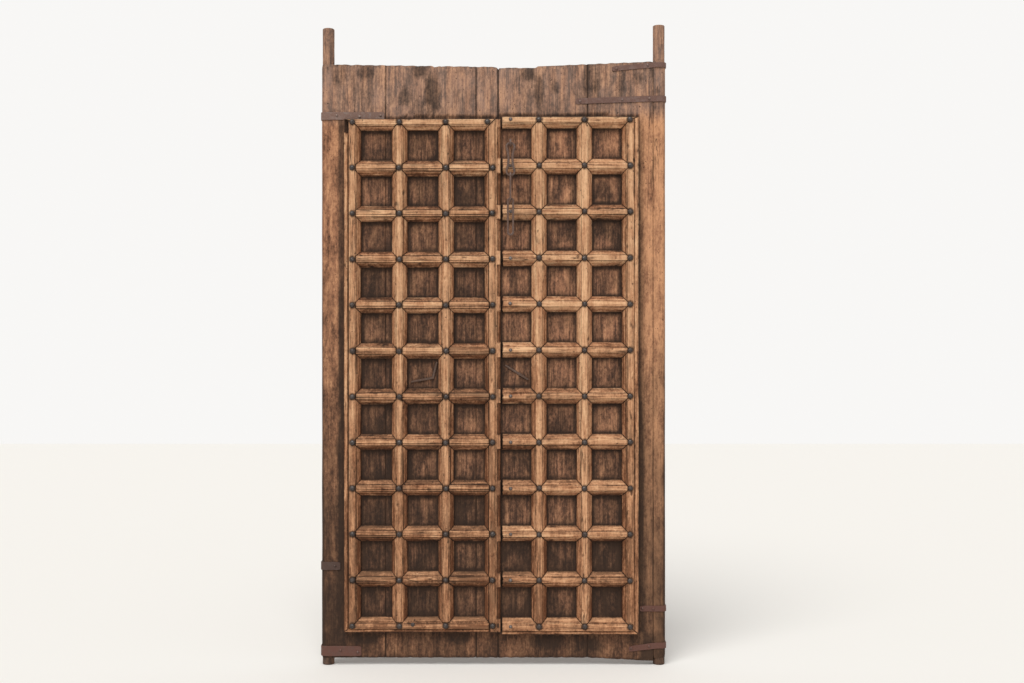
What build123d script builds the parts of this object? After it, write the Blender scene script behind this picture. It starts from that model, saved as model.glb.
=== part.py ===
from build123d import *
import os
from math import sqrt

os.makedirs("parts", exist_ok=True)

# A pair of old teak door leaves, closed, in millimetres
# +X to the right, -Y to the front, +Z up; the foot pintles end at Z = 0

# Leaves and their boards
pair_width = 1138.0
meeting_x = 15.0  # the meeting line stands right of the middle
leaf_height = 1963.0  # at the left pivot edge, without the pintles
left_top_fall = 8.0  # of the left top edge, from the pivot edge to the meeting line
right_top_rise = 10.0  # of the right pivot edge over the left one
right_step_fall = 6.0
right_meeting_fall = 11.0
leaf_gap = 4.0
board_thickness = 30.0
board_joint = 1.5
board_arris = 2.0
foot_height = 25.0
hanging_plank_share = 0.366  # of the left leaf's width
left_middle_board_share = 0.514
right_outer_board_share = 0.393  # of the right leaf's width
right_outer_board_dip = 11.0
top_chip_width = 20.0
top_chip_depth = 6.0
top_chip_share = 0.55  # of the left middle board's width
top_step_share = 0.44  # of the right edge board's width

# Pivot edges and pintles
pintle_diameter = 39.0
pintle_length = 122.0
left_pintle_arris = 5.0
pintle_arris = 2.5
pivot_edge_width = 41.0
pivot_edge_depth = 46.0
pivot_edge_round = 12.0

# Lattice bars
bar_width = 53.0
bar_flat = 23.0
bar_height = 30.0
bar_lip = 7.0
mitre_gap = 0.5
row_count = 12
left_bay_count = 3
outer_margin = 29.0  # from the outer nails to the lattice's side
outer_strip_width = 13.0
border_strip_width = 8.0
strip_height = 25.0
strip_groove = 4.0
strip_groove_height = 17.0

# Left lattice
left_lattice_margin = 77.0
left_first_row = 137.0
left_head_margin = 195.5  # from the top row of nails to the leaf's top
left_top_margin = 10.0
left_bottom_margin = 22.0
left_mitre_run = 15.0

# Right lattice
right_lattice_margin = 91.0
right_first_bay_share = 0.29  # of the width from the square rail ends to the outer nails
right_first_row = 134.6
right_head_margin = 188.0
right_top_margin = 10.0
right_bottom_margin = 27.0
right_mitre_run = 17.0

# Strip on the left leaf that covers the meeting line
cover_width = 54.0
cover_overlap = 7.0
cover_relief = 0.4
cover_clearance = 4.0
cover_corner_nail_inset = 11.0

# Nails, forged with six facets
rose_head_diameter = 19.0
rose_head_crown = 9.0
rose_head_height = 8.0
end_head_diameter = 13.0
end_head_crown = 7.0
end_head_height = 6.0
nail_shank = 6.0
nail_bite = 22.0
end_nail_inset = 28.0

# Ledges across the back
ledge_width = 72.0
ledge_thickness = 28.0
ledge_arris = 5.0
ledge_pivot_inset = 50.0
ledge_meeting_inset = 36.0
ledge_height_shares = (0.12, 0.58, 0.80)

# Iron straps round the pivot edges
strap_thickness = 3.0
strap_seat = 0.2
strap_tip_cut = 3.0
strap_front_wrap = 28.0
strap_back_leg = 34.0
left_top_strap_reach = 208.0
left_top_strap_width = 27.0
left_lower_strap_z = 329.0
left_lower_strap_reach = 63.0
left_lower_strap_width = 28.0
left_foot_strap_z = 48.0
left_foot_strap_reach = 132.0
left_foot_strap_width = 34.0
right_top_strap_inset = 12.0  # below the post's top
right_top_strap_drop = 14.0
right_top_strap_reach = 178.0
right_top_strap_width = 17.0
right_second_strap_inset = 124.0
right_second_strap_drop = 9.0
right_second_strap_reach = 297.0
right_second_strap_width = 20.0
right_lower_strap_z = 188.0
right_lower_strap_reach = 86.0
right_lower_strap_width = 20.0
right_foot_strap_z = 66.0
right_foot_strap_drop = 11.0
right_foot_strap_reach = 122.0
right_foot_strap_width = 20.0

# Iron bar of the staples and the chain, square in section
iron_bar = 6.5
eye_inner_radius = 6.0
chain_fit = 0.1
chain_clearance = 1.5

# Split staples, driven through a board and clenched
staple_hole_clearance = 0.3
staple_leg_thickness = 4.5
staple_leg_tip = 3.5
staple_eye_rise = 2.0
staple_row = 5
left_staple_place_shares = (0.82, 0.36)  # of its coffer's width and height
left_staple_leg_shares = (0.74, 0.55)  # of its coffer's smaller side
left_staple_leg_angles = (191.0, 75.0)
right_staple_place_shares = (0.61, 0.455)
right_staple_leg_shares = (0.575, 0.355)
right_staple_leg_angles = (148.0, -33.0)
chain_staple_drop = 79.0  # below the top row of nails
chain_staple_leg_lengths = (40.0, 40.0)
chain_staple_leg_angles = (40.0, 140.0)

# Chain links, sizes over the middle of the bar
waisted_bow_radius = 13.0
waisted_half_waist = 6.5
waisted_bow_spacing = 80.0
cross_bow_spacing = 74.0
end_bow_radius = 8.5
end_bow_spacing = 101.0

# Places worked out from the sizes above
half_bar = bar_width / 2
half_flat = bar_flat / 2
half_iron = iron_bar / 2
eye_outer_radius = eye_inner_radius + iron_bar
eye_standoff = bar_height + end_head_height + chain_clearance + eye_outer_radius
staple_back_reach = staple_eye_rise + 2 * eye_outer_radius
front_reach = eye_standoff + eye_outer_radius
back_reach = board_thickness + max(ledge_thickness, staple_back_reach)
front_y = (front_reach - back_reach) / 2
back_y = front_y + board_thickness
pivot_y = front_y + pivot_edge_depth / 2
front_face = Plane.XZ.offset(-front_y)
back_face = Plane.XZ.offset(-back_y)

left_edge = -pair_width / 2
right_edge = pair_width / 2
left_meeting = meeting_x - leaf_gap / 2
right_meeting = meeting_x + leaf_gap / 2
left_pivot_x = left_edge + pivot_edge_width / 2
right_pivot_x = right_edge - pivot_edge_width / 2
left_leaf_width = left_meeting - left_edge
right_leaf_width = right_edge - right_meeting
left_middle_board_width = left_middle_board_share * left_leaf_width
left_plank_end = left_edge + hanging_plank_share * left_leaf_width
left_middle_end = left_plank_end + left_middle_board_width
right_post_start = right_edge - pivot_edge_width
right_outer_start = right_post_start - right_outer_board_share * right_leaf_width
left_height_meeting = leaf_height - left_top_fall
right_height_outer = leaf_height + right_top_rise
right_height_step = leaf_height - right_step_fall
right_height_meeting = leaf_height - right_meeting_fall
leaf_top = foot_height + leaf_height
right_post_top = foot_height + right_height_outer
right_step_x = right_meeting + top_step_share * (right_outer_start - right_meeting)

cover_right = right_meeting + cover_overlap
cover_left = cover_right - cover_width
cover_x = (cover_left + cover_right) / 2
left_lattice_edge = left_edge + left_lattice_margin
left_outer_x = left_lattice_edge + outer_margin
left_column_pitch = (cover_x - left_outer_x) / left_bay_count
left_inner_columns = [left_outer_x + left_column_pitch * n for n in range(1, left_bay_count)]
left_row_pitch = (leaf_top - left_head_margin - left_first_row) / (row_count - 1)
left_rows = [left_first_row + left_row_pitch * n for n in range(row_count)]
left_lattice_top = left_rows[-1] + left_top_margin
left_lattice_bottom = left_rows[0] - left_bottom_margin

right_rail_start = cover_right + cover_clearance
right_lattice_edge = right_edge - right_lattice_margin
right_outer_x = right_lattice_edge - outer_margin
right_first_x = right_rail_start + right_first_bay_share * (right_outer_x - right_rail_start)
right_inner_columns = [right_first_x, (right_first_x + right_outer_x) / 2]
right_row_pitch = (leaf_top - right_head_margin - right_first_row) / (row_count - 1)
right_rows = [right_first_row + right_row_pitch * n for n in range(row_count)]
right_lattice_top = right_rows[-1] + right_top_margin
right_lattice_bottom = right_rows[0] - right_bottom_margin
end_nail_x = right_rail_start + end_nail_inset
left_coffer_width = left_column_pitch - bar_width
left_coffer_height = left_row_pitch - bar_width
right_coffer_width = right_first_x - half_bar - right_rail_start
right_coffer_height = right_row_pitch - bar_width
left_staple_x = left_inner_columns[0] + half_bar + left_staple_place_shares[0] * left_coffer_width
left_staple_z = left_rows[staple_row] + half_bar + left_staple_place_shares[1] * left_coffer_height
left_staple_leg_lengths = [
    min(left_coffer_width, left_coffer_height) * share for share in left_staple_leg_shares
]
right_staple_x = right_rail_start + right_staple_place_shares[0] * right_coffer_width
right_staple_z = right_rows[staple_row] + half_bar + right_staple_place_shares[1] * right_coffer_height
right_staple_leg_lengths = [
    min(right_coffer_width, right_coffer_height) * share for share in right_staple_leg_shares
]


def save(part, label):
    """Label a finished piece and write it."""
    part.label = label
    export_step(part, f"parts/{label}.step")


def height_along(x, start, end):
    """Height at x of the straight edge between two (x, z) points."""
    return start[1] + (end[1] - start[1]) * (x - start[0]) / (end[0] - start[0])


def left_top(x):
    """Height of the left leaf's top edge above the floor."""
    outer = (left_edge + pivot_edge_width, leaf_top)
    return height_along(x, outer, (left_meeting, foot_height + left_height_meeting))


def right_top(x):
    """Height of the right leaf's rising top edge above the floor."""
    outer = (right_post_start, right_post_top)
    return height_along(x, (right_step_x, foot_height + right_height_step), outer)


def make_board(label, outline, holes=()):
    """A board with eased front arrises, and bored for the shanks that pass through it."""
    bore = iron_bar + 2 * staple_hole_clearance
    with BuildPart() as board:
        with BuildSketch(front_face):
            Polygon(*outline, align=None)
            for hole in holes:
                with Locations(hole):
                    Rectangle(bore, bore, mode=Mode.SUBTRACT)
        extrude(amount=-board_thickness)
        long_edges = board.edges().filter_by(Axis.Z).group_by(Axis.Y)[0]
        chamfer(long_edges.filter_by(lambda edge: edge.length > pintle_length), board_arris)
    save(board.part, label)


# Left leaf's hanging plank, with the pivot edge and both pintles worked on it
with BuildPart() as hanging_plank:
    with BuildSketch(Plane.XY.offset(foot_height)) as plank_section:
        Polygon(
            (left_edge, front_y),
            (left_plank_end - board_joint, front_y),
            (left_plank_end - board_joint, back_y),
            (left_edge + pivot_edge_width, back_y),
            (left_edge + pivot_edge_width, front_y + pivot_edge_depth),
            (left_edge, front_y + pivot_edge_depth),
            align=None,
        )
        fillet(plank_section.vertices().group_by(Axis.X)[0], pivot_edge_round)
    extrude(amount=leaf_height)
    slope = Vector(left_meeting - left_edge - pivot_edge_width, 0, -left_top_fall)
    shoulder = (left_edge + pivot_edge_width, front_y, leaf_top)
    top_edge = Plane(shoulder, x_dir=slope, z_dir=slope.cross(Vector(0, 1, 0)))
    split(bisect_by=top_edge, keep=Keep.BOTTOM)
    with BuildSketch(Plane.XY):
        with Locations((left_pivot_x, pivot_y)):
            Circle(pintle_diameter / 2)
    extrude(amount=foot_height)
    chamfer(hanging_plank.edges().group_by(Axis.Z)[0], pintle_arris)
    with BuildSketch(Plane.XY.offset(leaf_top)):
        with Locations((left_pivot_x, pivot_y)):
            Circle(pintle_diameter / 2)
    extrude(amount=pintle_length)
    chamfer(hanging_plank.edges().group_by(Axis.Z)[-1], left_pintle_arris)
save(hanging_plank.part, "left_hanging_plank")

# Left leaf's other boards; the middle one has a chip out of its top edge
chip_x = left_plank_end + top_chip_share * left_middle_board_width
chip_half = top_chip_width / 2
make_board(
    "left_middle_board",
    [
        (left_plank_end, foot_height),
        (left_middle_end - board_joint, foot_height),
        (left_middle_end - board_joint, left_top(left_middle_end)),
        (chip_x + chip_half, left_top(chip_x + chip_half)),
        (chip_x, left_top(chip_x) - top_chip_depth),
        (chip_x - chip_half, left_top(chip_x - chip_half)),
        (left_plank_end, left_top(left_plank_end)),
    ],
    [(left_staple_x, left_staple_z)],
)
make_board(
    "left_edge_board",
    [
        (left_middle_end, foot_height),
        (left_meeting, foot_height),
        (left_meeting, left_top(left_meeting)),
        (left_middle_end, left_top(left_middle_end)),
    ],
)

# Right leaf's pivot post and boards; the top edge steps up and then rises to the post
with BuildPart() as pivot_post:
    with BuildSketch(Plane.XY.offset(foot_height)) as post_section:
        with Locations((right_pivot_x, pivot_y)):
            Rectangle(pivot_edge_width, pivot_edge_depth)
        fillet(post_section.vertices().group_by(Axis.X)[-1], pivot_edge_round)
    extrude(amount=right_height_outer)
    with BuildSketch(Plane.XY):
        with Locations((right_pivot_x, pivot_y)):
            Circle(pintle_diameter / 2)
    extrude(amount=foot_height)
    with BuildSketch(Plane.XY.offset(right_post_top)):
        with Locations((right_pivot_x, pivot_y)):
            Circle(pintle_diameter / 2)
    extrude(amount=pintle_length)
    chamfer(pivot_post.edges().group_by(Axis.Z)[-1], pintle_arris)
    chamfer(pivot_post.edges().group_by(Axis.Z)[0], pintle_arris)
save(pivot_post.part, "right_pivot_post")

chain_staple_z = right_rows[-1] - chain_staple_drop
make_board(
    "right_edge_board",
    [
        (right_meeting, foot_height),
        (right_outer_start - board_joint, foot_height),
        (right_outer_start - board_joint, right_top(right_outer_start)),
        (right_step_x, right_top(right_step_x)),
        (right_step_x, foot_height + right_height_meeting),
        (right_meeting, foot_height + right_height_meeting),
    ],
    [(right_staple_x, right_staple_z), (end_nail_x, chain_staple_z)],
)
make_board(
    "right_outer_board",
    [
        (right_outer_start, foot_height),
        (right_post_start - board_joint, foot_height - right_outer_board_dip),
        (right_post_start - board_joint, right_top(right_post_start)),
        (right_outer_start, right_top(right_outer_start)),
    ],
)


def rail_section():
    """Section of a rail across the leaf at height zero, bevelled on both sides."""
    return [
        (front_y, -half_bar),
        (front_y - bar_lip, -half_bar),
        (front_y - bar_height, -half_flat),
        (front_y - bar_height, half_flat),
        (front_y - bar_lip, half_bar),
        (front_y, half_bar),
    ]


def border_section(row, outer_z):
    """Section of a border rail: a bevel towards the coffers, and outside a square edge or a grooved strip."""
    inward = 1 if outer_z < row else -1
    points = [(front_y - bar_height, row + inward * half_flat), (front_y - bar_lip, row + inward * half_bar)]
    points += [(front_y, row + inward * half_bar), (front_y, outer_z)]
    if abs(outer_z - row) < half_flat + border_strip_width:
        return points + [(front_y - bar_height, outer_z)]
    strip_z = outer_z + inward * border_strip_width
    points += [(front_y - strip_height, outer_z), (front_y - strip_height, strip_z)]
    points += [(front_y - strip_groove_height, strip_z + inward * strip_groove / 2)]
    return points + [(front_y - bar_height, strip_z + inward * strip_groove)]


def upright_section(x):
    """Section of an inner upright, bevelled on both sides."""
    return [
        (x - half_bar, front_y),
        (x - half_bar, front_y - bar_lip),
        (x - half_flat, front_y - bar_height),
        (x + half_flat, front_y - bar_height),
        (x + half_bar, front_y - bar_lip),
        (x + half_bar, front_y),
    ]


def outer_upright_section(x, outer_x):
    """Section of an outer upright: a bevel towards the coffers and a grooved strip outside."""
    inward = 1 if outer_x < x else -1
    strip_x = outer_x + inward * outer_strip_width
    return [
        (outer_x, front_y),
        (outer_x, front_y - strip_height),
        (strip_x, front_y - strip_height),
        (strip_x + inward * strip_groove / 2, front_y - strip_groove_height),
        (strip_x + inward * strip_groove, front_y - bar_height),
        (x + inward * half_flat, front_y - bar_height),
        (x + inward * half_bar, front_y - bar_lip),
        (x + inward * half_bar, front_y),
    ]


def notch(edge_x, row, inward, run):
    """Points of the mitred notch that takes a rail's end, from low to high."""
    low, high = row - half_bar, row + half_bar
    neck_x = edge_x + inward * run
    return [(edge_x, low), (neck_x, low + run), (neck_x, high - run), (edge_x, high)]


def side_of_notches(edge_x, rows, inward, run):
    """Points up one side of an upright, with a notch at each row."""
    return [point for row in rows for point in notch(edge_x, row, inward, run)]


def make_upright(label, plan, section):
    """An upright: its plan with the notches, cut to its moulded section."""
    with BuildPart() as upright:
        with BuildSketch(front_face):
            Polygon(*plan, align=None)
        extrude(amount=bar_height)
        with BuildSketch(Plane.XY):
            Polygon(*section, align=None)
        extrude(amount=leaf_top, mode=Mode.INTERSECT)
    save(upright.part, label)


def make_inner_upright(label, x, rows, run):
    """An inner upright, notched on both sides, with its tips let into the border rails."""
    left_x, right_x = x - half_bar, x + half_bar
    bottom = rows[0] + half_bar - run + mitre_gap
    top = rows[-1] - half_bar + run - mitre_gap
    right_side = side_of_notches(right_x, rows[1:-1], -1, run)
    left_side = side_of_notches(left_x, rows[1:-1], 1, run)
    plan = [(left_x + run, bottom), (right_x - run, bottom), (right_x, bottom + run)]
    plan += right_side + [(right_x, top - run), (right_x - run, top)]
    plan += [(left_x + run, top), (left_x, top - run)]
    plan += left_side[::-1] + [(left_x, bottom + run)]
    make_upright(label, plan, upright_section(x))


def make_outer_upright(label, x, outer_x, rows, low, high, run):
    """An outer upright, notched towards the coffers and mitred to the border rails at its ends."""
    inward = 1 if outer_x < x else -1
    inner_x = x + inward * half_bar
    plan = [(outer_x, low), (x, rows[0]), (inner_x, rows[0] + half_bar)]
    plan += side_of_notches(inner_x, rows[1:-1], -inward, run)
    plan += [(inner_x, rows[-1] - half_bar), (x, rows[-1]), (outer_x, high)]
    make_upright(label, plan, outer_upright_section(x, outer_x))


make_outer_upright(
    "left_outer_upright",
    left_outer_x,
    left_lattice_edge,
    left_rows,
    left_lattice_bottom,
    left_lattice_top,
    left_mitre_run,
)
for number, x in enumerate(left_inner_columns, 1):
    make_inner_upright(f"left_upright_{number}", x, left_rows, left_mitre_run)
for number, x in enumerate(right_inner_columns, 1):
    make_inner_upright(f"right_upright_{number}", x, right_rows, right_mitre_run)
make_outer_upright(
    "right_outer_upright",
    right_outer_x,
    right_lattice_edge,
    right_rows,
    right_lattice_bottom,
    right_lattice_top,
    right_mitre_run,
)

# Cover strip: mitred at the top, notched on the left, and relieved behind where it laps over the right leaf
cover_neck = cover_left + left_mitre_run
cover_top_x = cover_left + half_bar + left_top_margin
cover_plan = [(cover_right, left_lattice_top), (cover_top_x, left_lattice_top)]
cover_plan += [(cover_left, left_rows[-1] - half_bar)]
cover_plan += side_of_notches(cover_left, left_rows[1:-1], 1, left_mitre_run)[::-1]
cover_plan += [(cover_left, left_rows[0] + half_bar), (cover_neck, left_rows[0] + half_bar - left_mitre_run)]
cover_plan += [(cover_neck, left_lattice_bottom), (cover_right, left_lattice_bottom)]
bevel_run = half_bar - half_flat
make_upright(
    "left_meeting_cover",
    cover_plan,
    [
        (cover_left, front_y),
        (cover_left, front_y - bar_lip),
        (cover_left + bevel_run, front_y - bar_height),
        (cover_right - bevel_run, front_y - bar_height),
        (cover_right, front_y - bar_lip),
        (cover_right, front_y - cover_relief),
        (left_meeting, front_y - cover_relief),
        (left_meeting, front_y),
    ],
)


def make_rail(plan, section):
    """A rail across the leaf: its plan with the mitred ends, cut to its moulded section."""
    with BuildPart() as rail:
        with BuildSketch(front_face):
            Polygon(*plan, align=None)
        extrude(amount=bar_height)
        with BuildSketch(Plane.YZ):
            Polygon(*section, align=None)
        extrude(amount=pair_width / 2, both=True, mode=Mode.INTERSECT)
    return rail.part


def make_border(label, corner_x, outer_x, end_plan, row, outer_z, columns, run):
    """A border rail: mitred at its corner, notched for the uprights' tips, ending as its plan says."""
    inward = 1 if outer_z < row else -1
    across = 1 if outer_x < corner_x else -1
    gap = across * mitre_gap
    inner_z = row + inward * half_bar
    neck_z = inner_z - inward * run
    plan = [(outer_x + gap, outer_z), (corner_x + gap, row), (corner_x + across * half_bar + gap, inner_z)]
    for x in columns[::across]:
        plan += [(x - across * half_bar, inner_z), (x - across * (half_bar - run), neck_z)]
        plan += [(x + across * (half_bar - run), neck_z), (x + across * half_bar, inner_z)]
    save(make_rail(plan + end_plan, border_section(row, outer_z)), label)


make_border(
    "left_top_border",
    left_outer_x,
    left_lattice_edge,
    [(cover_left - mitre_gap, left_rows[-1] - half_bar), (cover_top_x - mitre_gap, left_lattice_top)],
    left_rows[-1],
    left_lattice_top,
    left_inner_columns,
    left_mitre_run,
)
make_border(
    "left_bottom_border",
    left_outer_x,
    left_lattice_edge,
    [
        (cover_left - mitre_gap, left_rows[0] + half_bar),
        (cover_neck - mitre_gap, left_rows[0] + half_bar - left_mitre_run),
        (cover_neck - mitre_gap, left_lattice_bottom),
    ],
    left_rows[0],
    left_lattice_bottom,
    left_inner_columns,
    left_mitre_run,
)
for place, row, outer_z in (
    ("top", right_rows[-1], right_lattice_top),
    ("bottom", right_rows[0], right_lattice_bottom),
):
    inner_z = row + (half_bar if outer_z < row else -half_bar)
    make_border(
        f"right_{place}_border",
        right_outer_x,
        right_lattice_edge,
        [(right_rail_start, inner_z), (right_rail_start, outer_z)],
        row,
        outer_z,
        right_inner_columns,
        right_mitre_run,
    )


def mitred_end(x, inward, run):
    """Points of a rail's mitred end at height zero, from low to high; x is at the foot of its mitres."""
    tip_x = x - inward * run
    return [(x, -half_bar), (tip_x, run - half_bar), (tip_x, half_bar - run), (x, half_bar)]


def make_rail_rows(leaf, rails, rows):
    """The rows of short rails between the border rails, the lowest first."""
    for number, row in enumerate(rows[1:-1], 1):
        with BuildPart() as rail_row:
            with Locations((0, 0, row)):
                add(rails)
        save(rail_row.part, f"{leaf}_rail_row_{number:02d}")


rail_inset = half_bar + mitre_gap
left_starts = [mitred_end(x + rail_inset, 1, left_mitre_run) for x in [left_outer_x] + left_inner_columns]
left_ends = [mitred_end(x - rail_inset, -1, left_mitre_run) for x in left_inner_columns]
left_ends += [mitred_end(cover_left - mitre_gap, -1, left_mitre_run)]
left_rails = [make_rail(start + end[::-1], rail_section()) for start, end in zip(left_starts, left_ends)]
make_rail_rows("left", left_rails, left_rows)

right_starts = [[(right_rail_start, -half_bar), (right_rail_start, half_bar)]]
right_starts += [mitred_end(x + rail_inset, 1, right_mitre_run) for x in right_inner_columns]
right_ends = [mitred_end(x - rail_inset, -1, right_mitre_run) for x in right_inner_columns + [right_outer_x]]
right_rails = [make_rail(start + end[::-1], rail_section()) for start, end in zip(right_starts, right_ends)]
make_rail_rows("right", right_rails, right_rows)


def make_nails(label, head_diameter, crown_diameter, head_height, places):
    """Forged nails on the lattice: a faceted head on the flat and a tapered shank down into the board."""
    with BuildPart() as nail:
        with BuildSketch(Plane.XZ):
            RegularPolygon(head_diameter / 2, 6)
        with BuildSketch(Plane.XZ.offset(head_height)):
            RegularPolygon(crown_diameter / 2, 6)
        loft()
        with BuildSketch(Plane.XZ, mode=Mode.PRIVATE) as shank:
            Rectangle(nail_shank, nail_shank)
        loft(sections=[shank.sketch.face(), Vertex(0, bar_height + nail_bite, 0)])
    with BuildPart() as nails:
        with Locations(*[(x, front_y - bar_height, z) for x, z in places]):
            add(nail.part)
    save(nails.part, label)


left_columns = [left_outer_x] + left_inner_columns
right_columns = right_inner_columns + [right_outer_x]
left_crossings = [(x, z) for x in left_columns for z in left_rows] + [(cover_x, z) for z in left_rows[:-1]]
left_crossings += [(cover_left + cover_corner_nail_inset, left_rows[-1])]
right_crossings = [(x, z) for x in right_columns for z in right_rows]
rail_ends = [(end_nail_x, z) for z in right_rows]
make_nails("left_rose_nails", rose_head_diameter, rose_head_crown, rose_head_height, left_crossings)
make_nails("right_rose_nails", rose_head_diameter, rose_head_crown, rose_head_height, right_crossings)
make_nails("right_end_nails", end_head_diameter, end_head_crown, end_head_height, rail_ends)


def make_ledges(leaf, start, end):
    """Ledges across the back of a leaf, the lowest first, with the arrises behind taken off."""
    for number, share in enumerate(ledge_height_shares, 1):
        with BuildPart() as ledge:
            with BuildSketch(back_face):
                with Locations(((start + end) / 2, foot_height + share * leaf_height)):
                    Rectangle(end - start, ledge_width)
            extrude(amount=-ledge_thickness)
            chamfer(ledge.faces().sort_by(Axis.Y)[-1].edges(), ledge_arris)
        save(ledge.part, f"{leaf}_ledge_{number}")


make_ledges("left", left_edge + ledge_pivot_inset, left_meeting - ledge_meeting_inset)
make_ledges("right", right_meeting + ledge_meeting_inset, right_edge - ledge_pivot_inset)


def wrap_points(edge_x, inward, start_x, end_x, away):
    """Points round a pivot edge at a distance from the wood, with each round corner followed by one facet."""
    front, back = front_y - away, front_y + pivot_edge_depth + away
    corner_x = edge_x - inward * away
    facet = (2 - sqrt(2)) * (pivot_edge_round + away)
    points = [(start_x, front), (corner_x + inward * facet, front), (corner_x, front + facet)]
    return points + [(corner_x, back - facet), (corner_x + inward * facet, back), (end_x, back)]


def make_strap(label, edge_x, edge_z, tip_z, reach, width):
    """An iron strap hammered round a pivot edge: a long leg on the front and a short one behind."""
    inward = 1 if edge_x < 0 else -1
    start_x = edge_x + inward * strap_front_wrap
    end_x = edge_x + inward * strap_back_leg
    tip_x = edge_x + inward * reach
    cut_x = tip_x - inward * strap_tip_cut
    half = width / 2
    inside = wrap_points(edge_x, inward, start_x, end_x, strap_seat)
    outside = wrap_points(edge_x, inward, start_x, end_x, strap_seat + strap_thickness)
    with BuildPart() as strap:
        with BuildSketch(Plane.XY.offset(edge_z - half)):
            Polygon(*inside, *outside[::-1], align=None)
        extrude(amount=width)
        with BuildSketch(front_face.offset(strap_seat)):
            Polygon(
                (start_x, edge_z - half),
                (cut_x, tip_z - half),
                (tip_x, tip_z - half + strap_tip_cut),
                (tip_x, tip_z + half - strap_tip_cut),
                (cut_x, tip_z + half),
                (start_x, edge_z + half),
                align=None,
            )
        extrude(amount=strap_thickness)
    save(strap.part, label)


left_top_strap_z = left_lattice_top + strap_seat + left_top_strap_width / 2
make_strap(
    "left_top_strap",
    left_edge,
    left_top_strap_z,
    left_top_strap_z,
    left_top_strap_reach,
    left_top_strap_width,
)
make_strap(
    "left_lower_strap",
    left_edge,
    left_lower_strap_z,
    left_lower_strap_z,
    left_lower_strap_reach,
    left_lower_strap_width,
)
make_strap(
    "left_foot_strap",
    left_edge,
    left_foot_strap_z,
    left_foot_strap_z,
    left_foot_strap_reach,
    left_foot_strap_width,
)
right_top_strap_z = right_post_top - right_top_strap_inset
right_second_strap_z = right_post_top - right_second_strap_inset
make_strap(
    "right_top_strap",
    right_edge,
    right_top_strap_z,
    right_top_strap_z - right_top_strap_drop,
    right_top_strap_reach,
    right_top_strap_width,
)
make_strap(
    "right_second_strap",
    right_edge,
    right_second_strap_z,
    right_second_strap_z - right_second_strap_drop,
    right_second_strap_reach,
    right_second_strap_width,
)
make_strap(
    "right_lower_strap",
    right_edge,
    right_lower_strap_z,
    right_lower_strap_z,
    right_lower_strap_reach,
    right_lower_strap_width,
)
make_strap(
    "right_foot_strap",
    right_edge,
    right_foot_strap_z,
    right_foot_strap_z - right_foot_strap_drop,
    right_foot_strap_reach,
    right_foot_strap_width,
)


def make_split_staple(label, x, z, eye_y, leg_lengths, leg_angles):
    """A split staple through a board: an eye on one side and two legs clenched flat on the other."""
    eye_in_front = eye_y < front_y
    leg_face = back_face if eye_in_front else front_face
    leg_amount = -staple_leg_thickness if eye_in_front else staple_leg_thickness
    leg_y = back_y if eye_in_front else front_y
    eye_root = eye_y + (eye_inner_radius + half_iron) * (1 if eye_in_front else -1)
    with BuildPart() as staple:
        with BuildSketch(Plane.YZ.offset(x - half_iron)):
            with Locations((eye_y, z)):
                Circle(eye_outer_radius)
                Circle(eye_inner_radius, mode=Mode.SUBTRACT)
        extrude(amount=iron_bar)
        with BuildSketch(Plane.XZ.offset(-leg_y)):
            with Locations((x, z)):
                Rectangle(iron_bar, iron_bar)
        extrude(amount=leg_y - eye_root)
        with BuildSketch(leg_face):
            with Locations((x, z)):
                Rectangle(iron_bar, iron_bar)
            for length, angle in zip(leg_lengths, leg_angles):
                with Locations(Location((x, z, 0), (0, 0, angle))):
                    Polygon(
                        (0, -half_iron),
                        (length, -staple_leg_tip / 2),
                        (length, staple_leg_tip / 2),
                        (0, half_iron),
                        align=None,
                    )
        extrude(amount=leg_amount)
    save(staple.part, label)


staple_eye_y = back_y + staple_eye_rise + eye_outer_radius
make_split_staple(
    "left_split_staple",
    left_staple_x,
    left_staple_z,
    staple_eye_y,
    left_staple_leg_lengths,
    left_staple_leg_angles,
)
make_split_staple(
    "right_split_staple",
    right_staple_x,
    right_staple_z,
    staple_eye_y,
    right_staple_leg_lengths,
    right_staple_leg_angles,
)
chain_y = front_y - eye_standoff
make_split_staple(
    "chain_staple", end_nail_x, chain_staple_z, chain_y, chain_staple_leg_lengths, chain_staple_leg_angles
)


def seat_depth(cradle_radius):
    """How far below a bow's centre the bar of the next link lies in it."""
    return sqrt((cradle_radius - chain_fit) ** 2 - half_iron**2)


def arch_sag(arch_radius):
    """How far an arch over a bar drops from its crown to the bar's edges."""
    return arch_radius - sqrt(arch_radius**2 - half_iron**2)


def waisted_outline(bow_radius, half_waist, spacing):
    """Face of a waisted loop: two round bows joined by long hollow sides tangent to both."""
    side_radius = (half_waist**2 + spacing**2 / 4 - bow_radius**2) / (2 * (bow_radius - half_waist))
    share = bow_radius / (bow_radius + side_radius)
    touch_x = share * (half_waist + side_radius)
    touch_z = spacing / 2 * (1 - share)
    crown = spacing / 2 + bow_radius
    with BuildSketch() as loop:
        with BuildLine():
            ThreePointArc((touch_x, touch_z), (0, crown), (-touch_x, touch_z))
            ThreePointArc((-touch_x, touch_z), (-half_waist, 0), (-touch_x, -touch_z))
            ThreePointArc((-touch_x, -touch_z), (0, -crown), (touch_x, -touch_z))
            ThreePointArc((touch_x, -touch_z), (half_waist, 0), (touch_x, touch_z))
        make_face()
    return loop.sketch


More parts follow.
